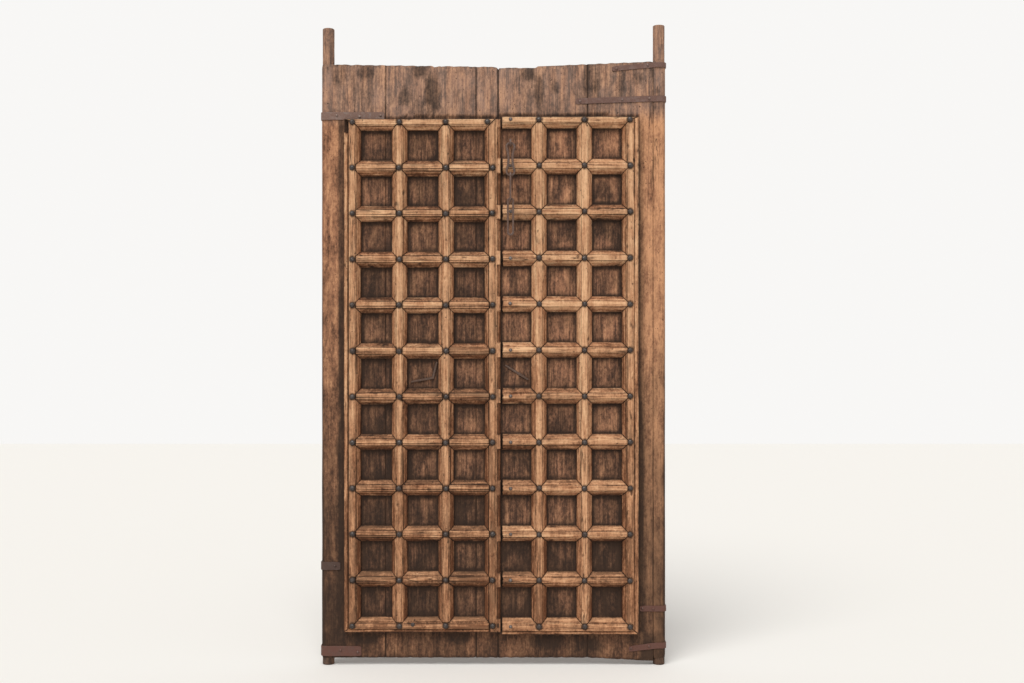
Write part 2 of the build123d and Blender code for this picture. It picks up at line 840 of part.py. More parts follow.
# First link, waisted and flat to the door: its upper bow hangs in the staple's eye
waisted_inner = waisted_bow_radius - half_iron
waisted_outer = waisted_bow_radius + half_iron
first_top = chain_staple_z - seat_depth(eye_inner_radius) + arch_sag(waisted_inner) - waisted_inner
first_bottom = first_top - waisted_bow_spacing
with BuildPart() as chain_link_1:
    with BuildSketch(Plane.XZ.offset(-chain_y - half_iron)):
        with Locations((end_nail_x, (first_top + first_bottom) / 2)):
            add(waisted_outline(waisted_outer, waisted_half_waist + half_iron, waisted_bow_spacing))
            add(
                waisted_outline(waisted_inner, waisted_half_waist - half_iron, waisted_bow_spacing),
                mode=Mode.SUBTRACT,
            )
    extrude(amount=iron_bar)
save(chain_link_1.part, "chain_link_1")

# Second link, edge-on to the door: its upper bow rides on the first link's lower one
second_top = first_bottom - seat_depth(waisted_inner) + arch_sag(eye_inner_radius) - eye_inner_radius
second_bottom = second_top - cross_bow_spacing
with BuildPart() as chain_link_2:
    with BuildSketch(Plane.YZ.offset(end_nail_x - half_iron)):
        with Locations((chain_y, (second_top + second_bottom) / 2)):
            SlotCenterToCenter(cross_bow_spacing, 2 * eye_outer_radius, rotation=90)
            SlotCenterToCenter(cross_bow_spacing, 2 * eye_inner_radius, rotation=90, mode=Mode.SUBTRACT)
    extrude(amount=iron_bar)
save(chain_link_2.part, "chain_link_2")

# Third link, flat to the door again, the one that drops over a staple to fasten the leaves
end_inner = end_bow_radius - half_iron
end_outer = end_bow_radius + half_iron
third_top = second_bottom - seat_depth(eye_inner_radius) + arch_sag(end_inner) - end_inner
third_bottom = third_top - end_bow_spacing
with BuildPart() as chain_link_3:
    with BuildSketch(Plane.XZ.offset(-chain_y - half_iron)):
        with Locations((end_nail_x, (third_top + third_bottom) / 2)):
            SlotCenterToCenter(end_bow_spacing, 2 * end_outer, rotation=90)
            SlotCenterToCenter(end_bow_spacing, 2 * end_inner, rotation=90, mode=Mode.SUBTRACT)
    extrude(amount=iron_bar)
save(chain_link_3.part, "chain_link_3")
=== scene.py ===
import bisect
import math
import random

import bmesh
import bpy
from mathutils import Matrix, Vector, noise


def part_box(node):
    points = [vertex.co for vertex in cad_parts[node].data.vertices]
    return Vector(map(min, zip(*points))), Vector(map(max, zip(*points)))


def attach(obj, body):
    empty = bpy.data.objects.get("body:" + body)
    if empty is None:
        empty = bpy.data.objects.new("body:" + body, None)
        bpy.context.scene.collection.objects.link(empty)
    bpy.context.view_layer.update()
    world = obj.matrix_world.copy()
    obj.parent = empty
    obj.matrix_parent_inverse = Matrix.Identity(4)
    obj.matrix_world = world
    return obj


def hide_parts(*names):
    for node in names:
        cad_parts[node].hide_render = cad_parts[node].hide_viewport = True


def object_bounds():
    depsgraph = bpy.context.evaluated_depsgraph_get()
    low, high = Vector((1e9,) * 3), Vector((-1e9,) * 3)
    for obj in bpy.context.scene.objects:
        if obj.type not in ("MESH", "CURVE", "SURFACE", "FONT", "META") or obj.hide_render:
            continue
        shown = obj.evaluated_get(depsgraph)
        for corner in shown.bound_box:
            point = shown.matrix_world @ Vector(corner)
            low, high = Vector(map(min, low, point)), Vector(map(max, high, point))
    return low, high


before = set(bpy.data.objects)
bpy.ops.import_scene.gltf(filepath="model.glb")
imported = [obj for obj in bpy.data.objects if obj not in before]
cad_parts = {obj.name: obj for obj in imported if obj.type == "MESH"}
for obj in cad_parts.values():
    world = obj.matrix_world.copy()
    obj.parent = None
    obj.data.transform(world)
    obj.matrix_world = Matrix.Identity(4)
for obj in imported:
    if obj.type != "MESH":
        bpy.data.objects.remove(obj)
cad_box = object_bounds()

# Lengths below are millimetres in the part's frame; meshes get metres
MM = 0.001
HALF_BAR = 26.5
BAR_HEIGHT = 30.0
MITRE_GAP = 0.5
LEFT_RUN = 17.0
RIGHT_RUN = 20.0
OUTER_MARGIN = 29.0
TOP_MARGIN = 10.0
LEFT_BOTTOM_MARGIN = 22.0
RIGHT_BOTTOM_MARGIN = 27.0
PIVOT_WIDTH = 41.0
PIVOT_DEPTH = 46.0
PIVOT_ROUND = 12.0
PINTLE_RADIUS = 19.5
STRAP_SEAT = 0.2
STRAP_THICKNESS = 3.0
STRAP_FRONT_WRAP = 28.0
STRAP_BACK_LEG = 34.0
LEDGE_HALF = 36.0
# Radius and height of each kind of nail head
ROSE_HEAD = (9.5, 8.0)
END_HEAD = (6.5, 6.0)
TACK_HEAD = (5.0, 3.5)
PLUG_HEAD = (7.5, 2.2)
# Metres by which the forged legs are hammered stouter
STAPLE_STOUT = 0.0014
LINK_STOUT = 0.0006


def box_mm(node):
    """Lowest and highest corner of a node of the part, in millimetres."""
    low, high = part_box(node)
    return [value / MM for value in low], [value / MM for value in high]


def middle_mm(node):
    """Middle of a node's box, in millimetres."""
    low, high = box_mm(node)
    return [(a + b) / 2 for a, b in zip(low, high)]


def row_heights(leaf):
    """Heights of a leaf's rows of nails, from the short rails between them."""
    inner = [middle_mm(f"{leaf}_rail_row_{number:02d}")[2] for number in range(1, 11)]
    pitch = inner[1] - inner[0]
    return [inner[0] - pitch] + inner + [inner[-1] + pitch]


FRONT = box_mm("left_middle_board")[0][1]
BACK = box_mm("left_middle_board")[1][1]
LEFT_ROWS = row_heights("left")
RIGHT_ROWS = row_heights("right")
LEFT_EDGE_X = box_mm("left_hanging_plank")[0][0]
RIGHT_EDGE_X = box_mm("right_pivot_post")[1][0]
LEFT_LATTICE_X = box_mm("left_outer_upright")[0][0]
RIGHT_LATTICE_X = box_mm("right_outer_upright")[1][0]
LEFT_OUTER_X = LEFT_LATTICE_X + OUTER_MARGIN
RIGHT_OUTER_X = RIGHT_LATTICE_X - OUTER_MARGIN
LEFT_COLUMNS = [middle_mm(f"left_upright_{number}")[0] for number in (1, 2)]
RIGHT_COLUMNS = [middle_mm(f"right_upright_{number}")[0] for number in (1, 2)]
COVER_LEFT = box_mm("left_meeting_cover")[0][0]
COVER_RIGHT = box_mm("left_meeting_cover")[1][0]
COVER_X = (COVER_LEFT + COVER_RIGHT) / 2
CORNER_NAIL_X = COVER_LEFT + 11.0
LEFT_BARS_X = [LEFT_OUTER_X] + LEFT_COLUMNS + [COVER_X]
RIGHT_BARS_X = [COVER_X] + RIGHT_COLUMNS + [RIGHT_OUTER_X]
MEETING_X = (box_mm("left_edge_board")[1][0] + box_mm("right_edge_board")[0][0]) / 2
RAIL_START = box_mm("right_rail_row_01")[0][0]
END_NAIL_X = middle_mm("right_end_nails")[0]


def clamp(value, low=0.0, high=1.0):
    return min(max(value, low), high)


def smooth(value):
    """Soft step from 0 to 1."""
    value = clamp(value)
    return value * value * (3 - 2 * value)


def ripple(x, y, z):
    """Smooth noise between about -1 and 1."""
    return noise.noise(Vector((x, y, z)))


class Piece:
    """A mesh in the making: points in millimetres, faces, and each point's dirt and painted shade, wear, tone
    and calm; on the bars the wear and tone also hold painted shade.
    """

    def __init__(self):
        self.points = []
        self.faces = []
        self.marks = []
        self.calm = []

    def add(self, point, dirt_and_shade=0.0, wear_and_light=0.0, tone=0.5, calm=0.0):
        self.points.append(point)
        self.marks.append((clamp(dirt_and_shade), clamp(wear_and_light), clamp(tone), 1.0))
        self.calm.append(calm)
        return len(self.points) - 1

    def grid(self, rows, closed=False):
        """Faces over rows of point numbers; a closed grid joins each row's end to its start."""
        for low, high in zip(rows, rows[1:]):
            for i in range(len(low) - (0 if closed else 1)):
                j = (i + 1) % len(low)
                self.faces.append((low[i], low[j], high[j], high[i]))

    def finish(self, name, body, material, nodes, crease=40.0):
        """The welded object, riding on its body in place of the part's own nodes."""
        low, high = cad_box
        mesh = bpy.data.meshes.new(name)
        inside = [
            tuple(clamp(value * MM, low[axis], high[axis]) for axis, value in enumerate(point))
            for point in self.points
        ]
        mesh.from_pydata(inside, [], self.faces)
        layer = mesh.color_attributes.new("marks", "FLOAT_COLOR", "POINT")
        layer.data.foreach_set("color", [value for mark in self.marks for value in mark])
        mesh.attributes.new("calm", "FLOAT", "POINT").data.foreach_set("value", self.calm)
        work = bmesh.new()
        work.from_mesh(mesh)
        bmesh.ops.remove_doubles(work, verts=work.verts, dist=0.00001)
        bmesh.ops.dissolve_degenerate(work, edges=work.edges, dist=0.000005)
        bmesh.ops.recalc_face_normals(work, faces=work.faces)
        for edge in work.edges:
            if len(edge.link_faces) == 2 and edge.calc_face_angle(0.0) > math.radians(crease):
                edge.smooth = False
        for face in work.faces:
            face.smooth = True
        work.to_mesh(mesh)
        work.free()
        mesh.materials.append(material)
        piece = bpy.data.objects.new(name, mesh)
        bpy.context.collection.objects.link(piece)
        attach(piece, body)
        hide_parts(*nodes)


def new_group(name, inputs, outputs):
    """A shader node group with its sockets and its two end nodes."""
    group = bpy.data.node_groups.new(name, "ShaderNodeTree")
    for label, kind, value in inputs:
        socket = group.interface.new_socket(label, in_out="INPUT", socket_type=kind)
        if value is not None:
            socket.default_value = value
    for label, kind in outputs:
        group.interface.new_socket(label, in_out="OUTPUT", socket_type=kind)
    return group, group.nodes.new("NodeGroupInput"), group.nodes.new("NodeGroupOutput")


class Wiring:
    """Short hands for adding nodes to a tree and joining them."""

    def __init__(self, tree):
        self.tree = tree

    def put(self, target, source):
        if isinstance(source, bpy.types.NodeSocket):
            self.tree.links.new(source, target)
        else:
            target.default_value = source

    def math(self, operation, first, second=0.0, limit=False):
        node = self.tree.nodes.new("ShaderNodeMath")
        node.operation = operation
        node.use_clamp = limit
        self.put(node.inputs[0], first)
        self.put(node.inputs[1], second)
        return node.outputs[0]

    def plus(self, first, second):
        return self.math("ADD", first, second)

    def minus(self, first, second):
        return self.math("SUBTRACT", first, second)

    def times(self, first, second):
        return self.math("MULTIPLY", first, second)

    def noise(self, vector, scale, detail, rough=0.5, distortion=0.0):
        node = self.tree.nodes.new("ShaderNodeTexNoise")
        self.put(node.inputs["Vector"], vector)
        node.inputs["Scale"].default_value = scale
        node.inputs["Detail"].default_value = detail
        node.inputs["Roughness"].default_value = rough
        node.inputs["Distortion"].default_value = distortion
        return node.outputs["Fac"]

    def stretch(self, vector, scale):
        node = self.tree.nodes.new("ShaderNodeMapping")
        self.put(node.inputs["Vector"], vector)
        node.inputs["Scale"].default_value = scale
        return node.outputs["Vector"]

    def span(self, value, low, high, to_low=0.0, to_high=1.0):
        node = self.tree.nodes.new("ShaderNodeMapRange")
        node.clamp = True
        self.put(node.inputs["Value"], value)
        for label, number in (("From Min", low), ("From Max", high), ("To Min", to_low), ("To Max", to_high)):
            node.inputs[label].default_value = number
        return node.outputs["Result"]

    def mix(self, share, first, second, blend="MIX"):
        node = self.tree.nodes.new("ShaderNodeMix")
        node.data_type = "RGBA"
        node.blend_type = blend
        self.put(node.inputs["Factor"], share)
        self.put(node.inputs[6], first)
        self.put(node.inputs[7], second)
        return node.outputs[2]

    def group(self, group, **values):
        node = self.tree.nodes.new("ShaderNodeGroup")
        node.node_tree = group
        for label, value in values.items():
            self.put(node.inputs[label.replace("_", " ")], value)
        return node.outputs


def srgb(red, green, blue):
    """A colour given as 0 to 255 values, made linear."""
    shares = [value / 255 for value in (red, green, blue)]
    linear = [value / 12.92 if value <= 0.04045 else ((value + 0.055) / 1.055) ** 2.4 for value in shares]
    return linear + [1.0]


def make_grain_group():
    """Fibres, figure, open pores and drying checks of old teak, on a place stretched along the grain."""
    group, start, end = new_group(
        "teak grain",
        [("Place", "NodeSocketVector", None)],
        [(label, "NodeSocketFloat") for label in ("Fibres", "Figure", "Pores", "Checks")],
    )
    wire = Wiring(group)
    place = start.outputs["Place"]
    fine = wire.noise(place, 300.0, 5.0, 0.66, 0.2)
    lines = wire.noise(place, 105.0, 3.0, 0.6, 0.3)
    fibres = wire.plus(wire.times(fine, 0.5), wire.times(lines, 0.5))
    figure = wire.noise(place, 34.0, 4.0, 0.6, 1.2)
    pores = wire.span(wire.noise(place, 900.0, 2.0, 0.5), 0.6, 0.72)
    line = wire.math("ABSOLUTE", wire.minus(wire.noise(place, 55.0, 4.0, 0.55, 0.6), 0.5))
    some = wire.span(wire.noise(place, 12.0, 2.0), 0.52, 0.62)
    checks = wire.times(wire.span(line, 0.004, 0.016, 1.0, 0.0), some)
    wire.put(end.inputs["Fibres"], fibres)
    wire.put(end.inputs["Figure"], figure)
    wire.put(end.inputs["Pores"], pores)
    wire.put(end.inputs["Checks"], checks)
    return group


def make_weather_group():
    """Colour, roughness and relief of weathered teak from its grain and its marks of dirt and painted shade,
    wear and tone; the darkest tone paints both grime and shade.
    """
    group, start, end = new_group(
        "weathered teak",
        [
            ("Place", "NodeSocketVector", None),
            ("Fibres", "NodeSocketFloat", 0.5),
            ("Figure", "NodeSocketFloat", 0.5),
            ("Pores", "NodeSocketFloat", 0.0),
            ("Checks", "NodeSocketFloat", 0.0),
            ("Blotches", "NodeSocketFloat", 0.5),
            ("Marks", "NodeSocketColor", None),
            ("Calm", "NodeSocketFloat", 0.0),
            ("Deep", "NodeSocketColor", None),
            ("Mid", "NodeSocketColor", None),
            ("Pale", "NodeSocketColor", None),
            ("Worn", "NodeSocketColor", None),
            ("Grime", "NodeSocketColor", None),
        ],
        [("Colour", "NodeSocketColor"), ("Roughness", "NodeSocketFloat"), ("Relief", "NodeSocketFloat")],
    )
    wire = Wiring(group)
    get = start.outputs
    split = group.nodes.new("ShaderNodeSeparateColor")
    wire.put(split.inputs[0], get["Marks"])
    dirt_and_shade, wear_and_light, tone = split.outputs[0], split.outputs[1], split.outputs[2]
    tall = wire.stretch(get["Place"], (1.0, 1.0, 0.35))
    stain = wire.noise(tall, 11.0, 5.0, 0.62, 0.8)
    scuff = wire.noise(tall, 34.0, 5.0, 0.66, 0.5)
    speck = wire.noise(wire.stretch(get["Place"], (1.0, 1.0, 0.6)), 150.0, 4.0, 0.68)
    broad = wire.times(get["Figure"], 0.5)
    streak = wire.plus(wire.times(get["Fibres"], 1.6), broad)
    lively = wire.minus(1.0, get["Calm"])
    streak = wire.plus(wire.times(wire.minus(streak, 1.05), lively), 0.5)
    lift = wire.plus(streak, wire.times(wire.minus(tone, 0.5), 0.5))
    uneven = wire.times(wire.minus(scuff, 0.5), get["Blotches"])
    fleck_size = wire.times(get["Blotches"], 0.65)
    flecks = wire.times(wire.minus(speck, 0.5), fleck_size)
    lift = wire.plus(lift, wire.plus(uneven, flecks))
    ramp_low = wire.mix(wire.span(lift, 0.26, 0.5), get["Deep"], get["Mid"])
    wood = wire.mix(wire.span(lift, 0.5, 0.8), ramp_low, get["Pale"])
    wood = wire.mix(wire.times(wear_and_light, 0.45), wood, get["Worn"])
    wood = wire.mix(wire.times(get["Pores"], 0.35), wood, get["Deep"])
    patch_size = wire.times(get["Blotches"], 1.6)
    patch = wire.times(wire.minus(stain, 0.5), patch_size)
    grit = wire.minus(0.5, speck)
    grain_grit = wire.times(wire.minus(0.5, get["Fibres"]), 1.1)
    loose = wire.plus(patch, wire.plus(grit, grain_grit))
    loose = wire.times(loose, wire.span(dirt_and_shade, 0.0, 0.35, 0.2, 1.0))
    loose = wire.times(loose, wire.span(dirt_and_shade, 0.6, 1.0, 1.0, 0.35))
    loose = wire.times(loose, lively)
    # Dirt and painted shade from the marks, with loose grime, darken the wood towards the darkest tone
    soil_and_shade = wire.math("ADD", dirt_and_shade, loose, limit=True)
    holes = wire.span(wire.noise(get["Place"], 150.0, 1.0, 0.4), 0.735, 0.765)
    soil_and_shade = wire.math("MAXIMUM", soil_and_shade, wire.times(wire.math("MAXIMUM", get["Checks"], holes), 0.85))
    colour = wire.mix(wire.times(soil_and_shade, 0.95), wood, get["Grime"])
    relief = wire.minus(get["Fibres"], wire.times(get["Pores"], 0.3))
    relief = wire.minus(relief, wire.math("MAXIMUM", get["Checks"], holes))
    wire.put(end.inputs["Colour"], colour)
    wire.put(end.inputs["Roughness"], wire.span(wear_and_light, 0.0, 1.0, 0.82, 0.62))
    wire.put(end.inputs["Relief"], relief)
    return group


def make_rust_group():
    """Colour, roughness and pitting of old iron: a bare tone, brown rust and pale dust in patches."""
    group, start, end = new_group(
        "old iron",
        [
            ("Place", "NodeSocketVector", None),
            ("Marks", "NodeSocketColor", None),
            ("Bare", "NodeSocketColor", None),
            ("Rust", "NodeSocketColor", None),
            ("Dust", "NodeSocketColor", None),
        ],
        [("Colour", "NodeSocketColor"), ("Roughness", "NodeSocketFloat"), ("Relief", "NodeSocketFloat")],
    )
    wire = Wiring(group)
    get = start.outputs
    split = group.nodes.new("ShaderNodeSeparateColor")
    wire.put(split.inputs[0], get["Marks"])
    patches = wire.noise(get["Place"], 60.0, 5.0, 0.62, 0.3)
    pits = wire.noise(get["Place"], 420.0, 3.0, 0.6)
    rusty = wire.span(wire.plus(patches, wire.times(split.outputs[0], 0.35)), 0.42, 0.68)
    colour = wire.mix(rusty, get["Bare"], get["Rust"])
    raised = wire.span(split.outputs[1], 0.0, 1.0, 0.25, 0.8)
    dusty = wire.times(wire.span(pits, 0.5, 0.75), raised)
    colour = wire.mix(dusty, colour, get["Dust"])
    wire.put(end.inputs["Colour"], colour)
    wire.put(end.inputs["Roughness"], wire.span(rusty, 0.0, 1.0, 0.34, 0.7))
    wire.put(end.inputs["Relief"], wire.plus(patches, wire.times(pits, 0.5)))
    return group


GRAIN = make_grain_group()
WEATHER = make_weather_group()
OLD_IRON = make_rust_group()


def start_material(name, shine, relief):
    """A new material with its shader, a bump, the place on the part and the marks of its points."""
    material = bpy.data.materials.new(name)
    material.use_nodes = True
    tree = material.node_tree
    shader = tree.nodes["Principled BSDF"]
    shader.inputs["Specular IOR Level"].default_value = shine
    bump = tree.nodes.new("ShaderNodeBump")
    bump.inputs["Distance"].default_value = relief
    bump.inputs["Strength"].default_value = 0.8
    tree.links.new(bump.outputs["Normal"], shader.inputs["Normal"])
    place = tree.nodes.new("ShaderNodeTexCoord").outputs["Object"]
    marks = tree.nodes.new("ShaderNodeAttribute")
    marks.attribute_name = "marks"
    return material, Wiring(tree), shader, bump, place, marks.outputs["Color"]


def make_teak(name, grain_scale, blotches, deep, mid, pale, worn, grime_and_shade):
    """Weathered teak with its grain along one axis of the part."""
    material, wire, shader, bump, place, marks = start_material(name, 0.22, 0.0007)
    calm = wire.tree.nodes.new("ShaderNodeAttribute")
    calm.attribute_name = "calm"
    grain = wire.group(GRAIN, Place=wire.stretch(place, grain_scale))
    weather = wire.group(
        WEATHER,
        Place=place,
        Fibres=grain["Fibres"],
        Figure=grain["Figure"],
        Pores=grain["Pores"],
        Checks=grain["Checks"],
        Blotches=blotches,
        Marks=marks,
        Calm=calm.outputs["Fac"],
        Deep=deep,
        Mid=mid,
        Pale=pale,
        Worn=worn,
        Grime=grime_and_shade,
    )
    wire.put(shader.inputs["Base Color"], weather["Colour"])
    wire.put(shader.inputs["Roughness"], weather["Roughness"])
    wire.put(bump.inputs["Height"], weather["Relief"])
    return material


def make_iron(name, bare, rust, dust, metal, relief):
    """Old iron in a bare, a rusty and a dusty tone, each given as 0 to 255 values."""
    material, wire, shader, bump, place, marks = start_material(name, 0.5, relief)
    shader.inputs["Metallic"].default_value = metal
    tones = {"Bare": srgb(*bare), "Rust": srgb(*rust), "Dust": srgb(*dust)}
    iron = wire.group(OLD_IRON, Place=place, Marks=marks, **tones)
    wire.put(shader.inputs["Base Color"], iron["Colour"])
    wire.put(shader.inputs["Roughness"], iron["Roughness"])
    wire.put(bump.inputs["Height"], iron["Relief"])
    return material


UPRIGHT_GRAIN = (1.0, 1.0, 0.045)
RAIL_GRAIN = (0.045, 1.0, 1.0)
# Deep, middle, pale and worn tones of the teak, and its darkest tone, used for grime and for painted shade
LATTICE_TONES = (
    srgb(110, 69, 45), srgb(183, 130, 94), srgb(227, 181, 139), srgb(222, 182, 141), srgb(39, 27, 20),
)
BOARD_TONES = (
    srgb(90, 61, 46), srgb(155, 109, 81), srgb(205, 151, 112), srgb(163, 143, 132), srgb(45, 33, 26),
)
upright_teak = make_teak("upright teak", UPRIGHT_GRAIN, 0.7, *LATTICE_TONES)
rail_teak = make_teak("rail teak", RAIL_GRAIN, 0.8, *LATTICE_TONES)
board_teak = make_teak("board teak", UPRIGHT_GRAIN, 1.1, *BOARD_TONES)
ledge_teak = make_teak("ledge teak", RAIL_GRAIN, 0.8, *BOARD_TONES)
nail_iron = make_iron("forged nail iron", (58, 53, 51), (66, 54, 48), (122, 114, 110), 0.55, 0.0004)
end_nail_iron = make_iron("end nail iron", (102, 92, 88), (90, 74, 66), (148, 138, 132), 0.4, 0.0004)
chain_iron = make_iron("chain iron", (80, 67, 62), (94, 71, 60), (140, 120, 110), 0.3, 0.0003)
staple_iron = make_iron("staple iron", (78, 62, 54), (84, 62, 50), (132, 111, 98), 0.3, 0.0003)
strap_iron = make_iron("strap iron", (122, 106, 99), (116, 88, 76), (152, 134, 126), 0.15, 0.0004)
rusty_iron = make_iron("rusty strap iron", (110, 87, 79), (102, 73, 63), (138, 114, 104), 0.15, 0.0004)
red_strap_iron = make_iron("red strap iron", (84, 56, 47), (92, 57, 46), (104, 76, 66), 0.1, 0.0004)
dark_strap_iron = make_iron("dark strap iron", (68, 51, 44), (70, 49, 41), (86, 67, 58), 0.1, 0.0004)


# Sections of the lattice bars: place across the bar, height over the boards, and how dark the bar is there,
# darkest in the grooves and at the foot
LEFT_UPRIGHT_HALF = [
    (0.0, 30.0, 0.0), (7.8, 29.7, 0.05), (8.8, 29.2, 0.35), (9.6, 27.6, 0.85), (10.4, 28.4, 0.45),
    (11.4, 28.5, 0.08),
    (12.6, 27.4, 0.12), (13.6, 25.2, 0.5), (14.4, 23.6, 0.85), (15.2, 24.0, 0.35), (16.4, 22.8, 0.1),
    (21.0, 15.8, 0.12), (24.6, 10.0, 0.35), (26.5, 6.0, 1.0),
]
RIGHT_UPRIGHT_HALF = [
    (0.0, 30.0, 0.0), (9.0, 29.6, 0.05), (10.2, 28.7, 0.35), (11.0, 27.3, 0.8), (11.8, 28.0, 0.35),
    (13.0, 27.2, 0.05),
    (15.4, 24.2, 0.05), (16.4, 22.8, 0.3), (17.4, 21.6, 0.08), (21.5, 15.4, 0.06), (24.8, 9.8, 0.25),
    (26.5, 6.0, 1.0),
]
LEFT_RAIL_SECTION = [
    (-26.5, 6.0, 1.0), (-25.4, 8.4, 0.8), (-18.5, 17.0, 0.35), (-12.6, 24.9, 0.3), (-11.5, 25.8, 0.7),
    (-10.6, 24.2, 1.0), (-9.6, 26.8, 0.7), (-8.8, 28.4, 0.15), (-5.4, 28.9, 0.1), (-4.4, 28.2, 0.6),
    (-3.6, 26.8, 1.0), (-2.7, 28.4, 0.6), (-1.7, 29.6, 0.05), (4.0, 30.0, 0.0), (9.8, 29.6, 0.05),
    (11.0, 28.4, 0.6), (12.1, 25.4, 1.0), (13.2, 26.0, 0.8), (14.2, 25.2, 0.55), (19.0, 17.5, 0.5),
    (25.4, 8.4, 0.8), (26.5, 6.0, 1.0),
]
RIGHT_RAIL_SECTION = [
    (-26.5, 6.0, 1.0), (-25.4, 8.4, 0.75), (-18.5, 17.5, 0.3), (-12.0, 26.2, 0.2), (-10.7, 27.2, 0.4),
    (-9.6, 25.8, 0.95), (-8.5, 28.2, 0.4), (-7.0, 29.4, 0.05), (0.0, 30.0, 0.0), (7.5, 29.6, 0.05),
    (9.2, 28.5, 0.4),
    (10.2, 26.4, 0.95), (11.2, 27.4, 0.4), (12.8, 26.0, 0.15), (19.0, 17.5, 0.25), (25.4, 8.4, 0.7),
    (26.5, 6.0, 1.0),
]
INNER_SIDE = [
    (7.6, 29.7, 0.05), (8.6, 29.0, 0.4), (9.4, 27.4, 0.75), (10.2, 28.2, 0.4), (12.0, 27.6, 0.15),
    (12.9, 25.6, 0.55),
    (13.9, 23.4, 0.75), (14.9, 24.2, 0.35), (16.0, 23.0, 0.1), (21.0, 15.8, 0.1), (24.6, 10.0, 0.35),
    (26.5, 6.0, 1.0),
]
LEFT_OUTER_SECTION = [
    (-29.0, 23.0, 0.4), (-28.2, 24.4, 0.1), (-22.0, 25.0, 0.1), (-17.6, 24.8, 0.15), (-16.4, 23.4, 0.6),
    (-14.4, 19.0, 1.0), (-12.6, 26.0, 0.7), (-11.2, 29.0, 0.1), (-8.0, 29.7, 0.05), (0.0, 30.0, 0.0),
] + INNER_SIDE
RIGHT_OUTER_SECTION = [
    (-29.0, 25.6, 0.3), (-28.2, 26.8, 0.0), (-22.0, 27.4, 0.0), (-16.8, 27.2, 0.1), (-15.6, 26.2, 0.5),
    (-14.4, 24.6, 0.8), (-13.0, 27.4, 0.4), (-11.6, 29.2, 0.08), (-8.0, 29.7, 0.05), (0.0, 30.0, 0.0),
] + INNER_SIDE
TOP_BORDER_SECTION = [
    (-10.0, 27.6, 0.6), (-9.0, 29.0, 0.2), (-6.0, 29.8, 0.05), (0.0, 30.0, 0.0),
] + INNER_SIDE


def bottom_border_section(margin):
    """Section of a bottom border: a strip and a groove outside the flat."""
    strip = -margin + 8.0
    outside = [
        (-margin, 22.6, 0.4), (-margin + 0.8, 24.2, 0.2), (strip - 0.8, 24.6, 0.2), (strip, 23.8, 0.45),
        (strip + 2.0, 22.0, 0.65), (strip + 3.7, 26.4, 0.45), (strip + 4.8, 28.8, 0.1), (-4.0, 29.8, 0.05),
    ]
    line = [(7.0, 29.7, 0.05), (8.2, 28.8, 0.5), (9.2, 26.2, 1.0), (10.2, 28.0, 0.5)]
    return outside + [(0.0, 30.0, 0.0)] + line + INNER_SIDE[4:]


COVER_SECTION = [
    (-27.0, 6.0, 1.0), (-25.4, 9.0, 0.5), (-20.0, 17.5, 0.15), (-15.0, 25.0, 0.15), (-13.8, 25.8, 0.6),
    (-12.8, 23.6, 1.0), (-11.8, 27.0, 0.7), (-10.8, 29.3, 0.05), (-1.0, 30.0, 0.0), (6.6, 29.6, 0.05),
    (7.7, 28.5, 0.6), (8.6, 26.6, 1.0), (9.5, 28.4, 0.6), (10.5, 28.9, 0.1), (14.0, 28.2, 0.1),
    (15.0, 27.0, 0.6),
    (16.0, 24.6, 1.0), (17.0, 25.2, 0.6), (18.0, 24.2, 0.12), (22.0, 16.0, 0.1), (25.4, 9.0, 0.35),
    (27.0, 6.0, 1.0),
]
LEDGE_SECTION = [
    (-36.0, 22.0, 0.5), (-35.4, 23.6, 0.3), (-31.6, 27.4, 0.1), (-30.0, 28.0, 0.1), (0.0, 27.6, 0.2),
    (30.0, 28.0, 0.1),
    (31.6, 27.4, 0.1), (35.4, 23.6, 0.3), (36.0, 22.0, 0.5),
]


def along(line, s):
    """Value at s of a line of (s, value) points."""
    i = clamp(bisect.bisect_right([point[0] for point in line], s), 1, len(line) - 1)
    (s0, v0), (s1, v1) = line[i - 1], line[i]
    return v0 + (v1 - v0) * clamp((s - s0) / (s1 - s0)) if s1 > s0 else v1


def even_steps(marks, step):
    """The marks with even steps of about the given size between them."""
    values = [marks[0]]
    for low, high in zip(marks, marks[1:]):
        count = max(1, math.ceil((high - low) / step - 0.01))
        values += [low + (high - low) * n / count for n in range(1, count + 1)]
    return values


RIM_STEPS = (0.0, 1.0, 2.8)
# Painted shade, and dust on the upward bevels, grow from this height down, over this fade
SHADE_AND_DUST_TOP = 1350.0
SHADE_AND_DUST_FADE = 1250.0
PIT_SPACING = 130.0
PIT_REACH = 7.0
NAIL_REACH = 18.0
NAIL_SHADE = 15.0
ROUGH_LENGTH = 14.0


def worn_down(s, u, h, gap, seed):
    """How far a bar is worn down at a place, and how much it is dented and chipped there."""
    dent = clamp(ripple(s * 0.045, u * 0.11, seed + 9.0) - 0.4)
    chip = clamp(ripple(s * 0.09, u * 0.16, seed + 14.0) - 0.45) * smooth(1 - gap / 9)
    rounded = 2.0 * clamp(1 - gap / RIM_STEPS[-1]) ** 2
    drop = (rounded + dent * 7.0 + chip * 12.0) * (h / BAR_HEIGHT) ** 2
    drop += abs(ripple(s * 0.02, u * 0.3, seed + 4.0)) * 0.5
    return drop, dent, chip


def settled_dust(height_line, place, s, u, h, low_shade_and_dust):
    """Dust on the bevels that face upward, more of it low down."""
    fall = along(height_line, u - 1.0) - along(height_line, u + 1.0)
    upward = place(s, u + 1.0, h)[2] - place(s, u, h)[2]
    return low_shade_and_dust * smooth((26.0 - h) / 3.0) * clamp(upward * fall / 2)


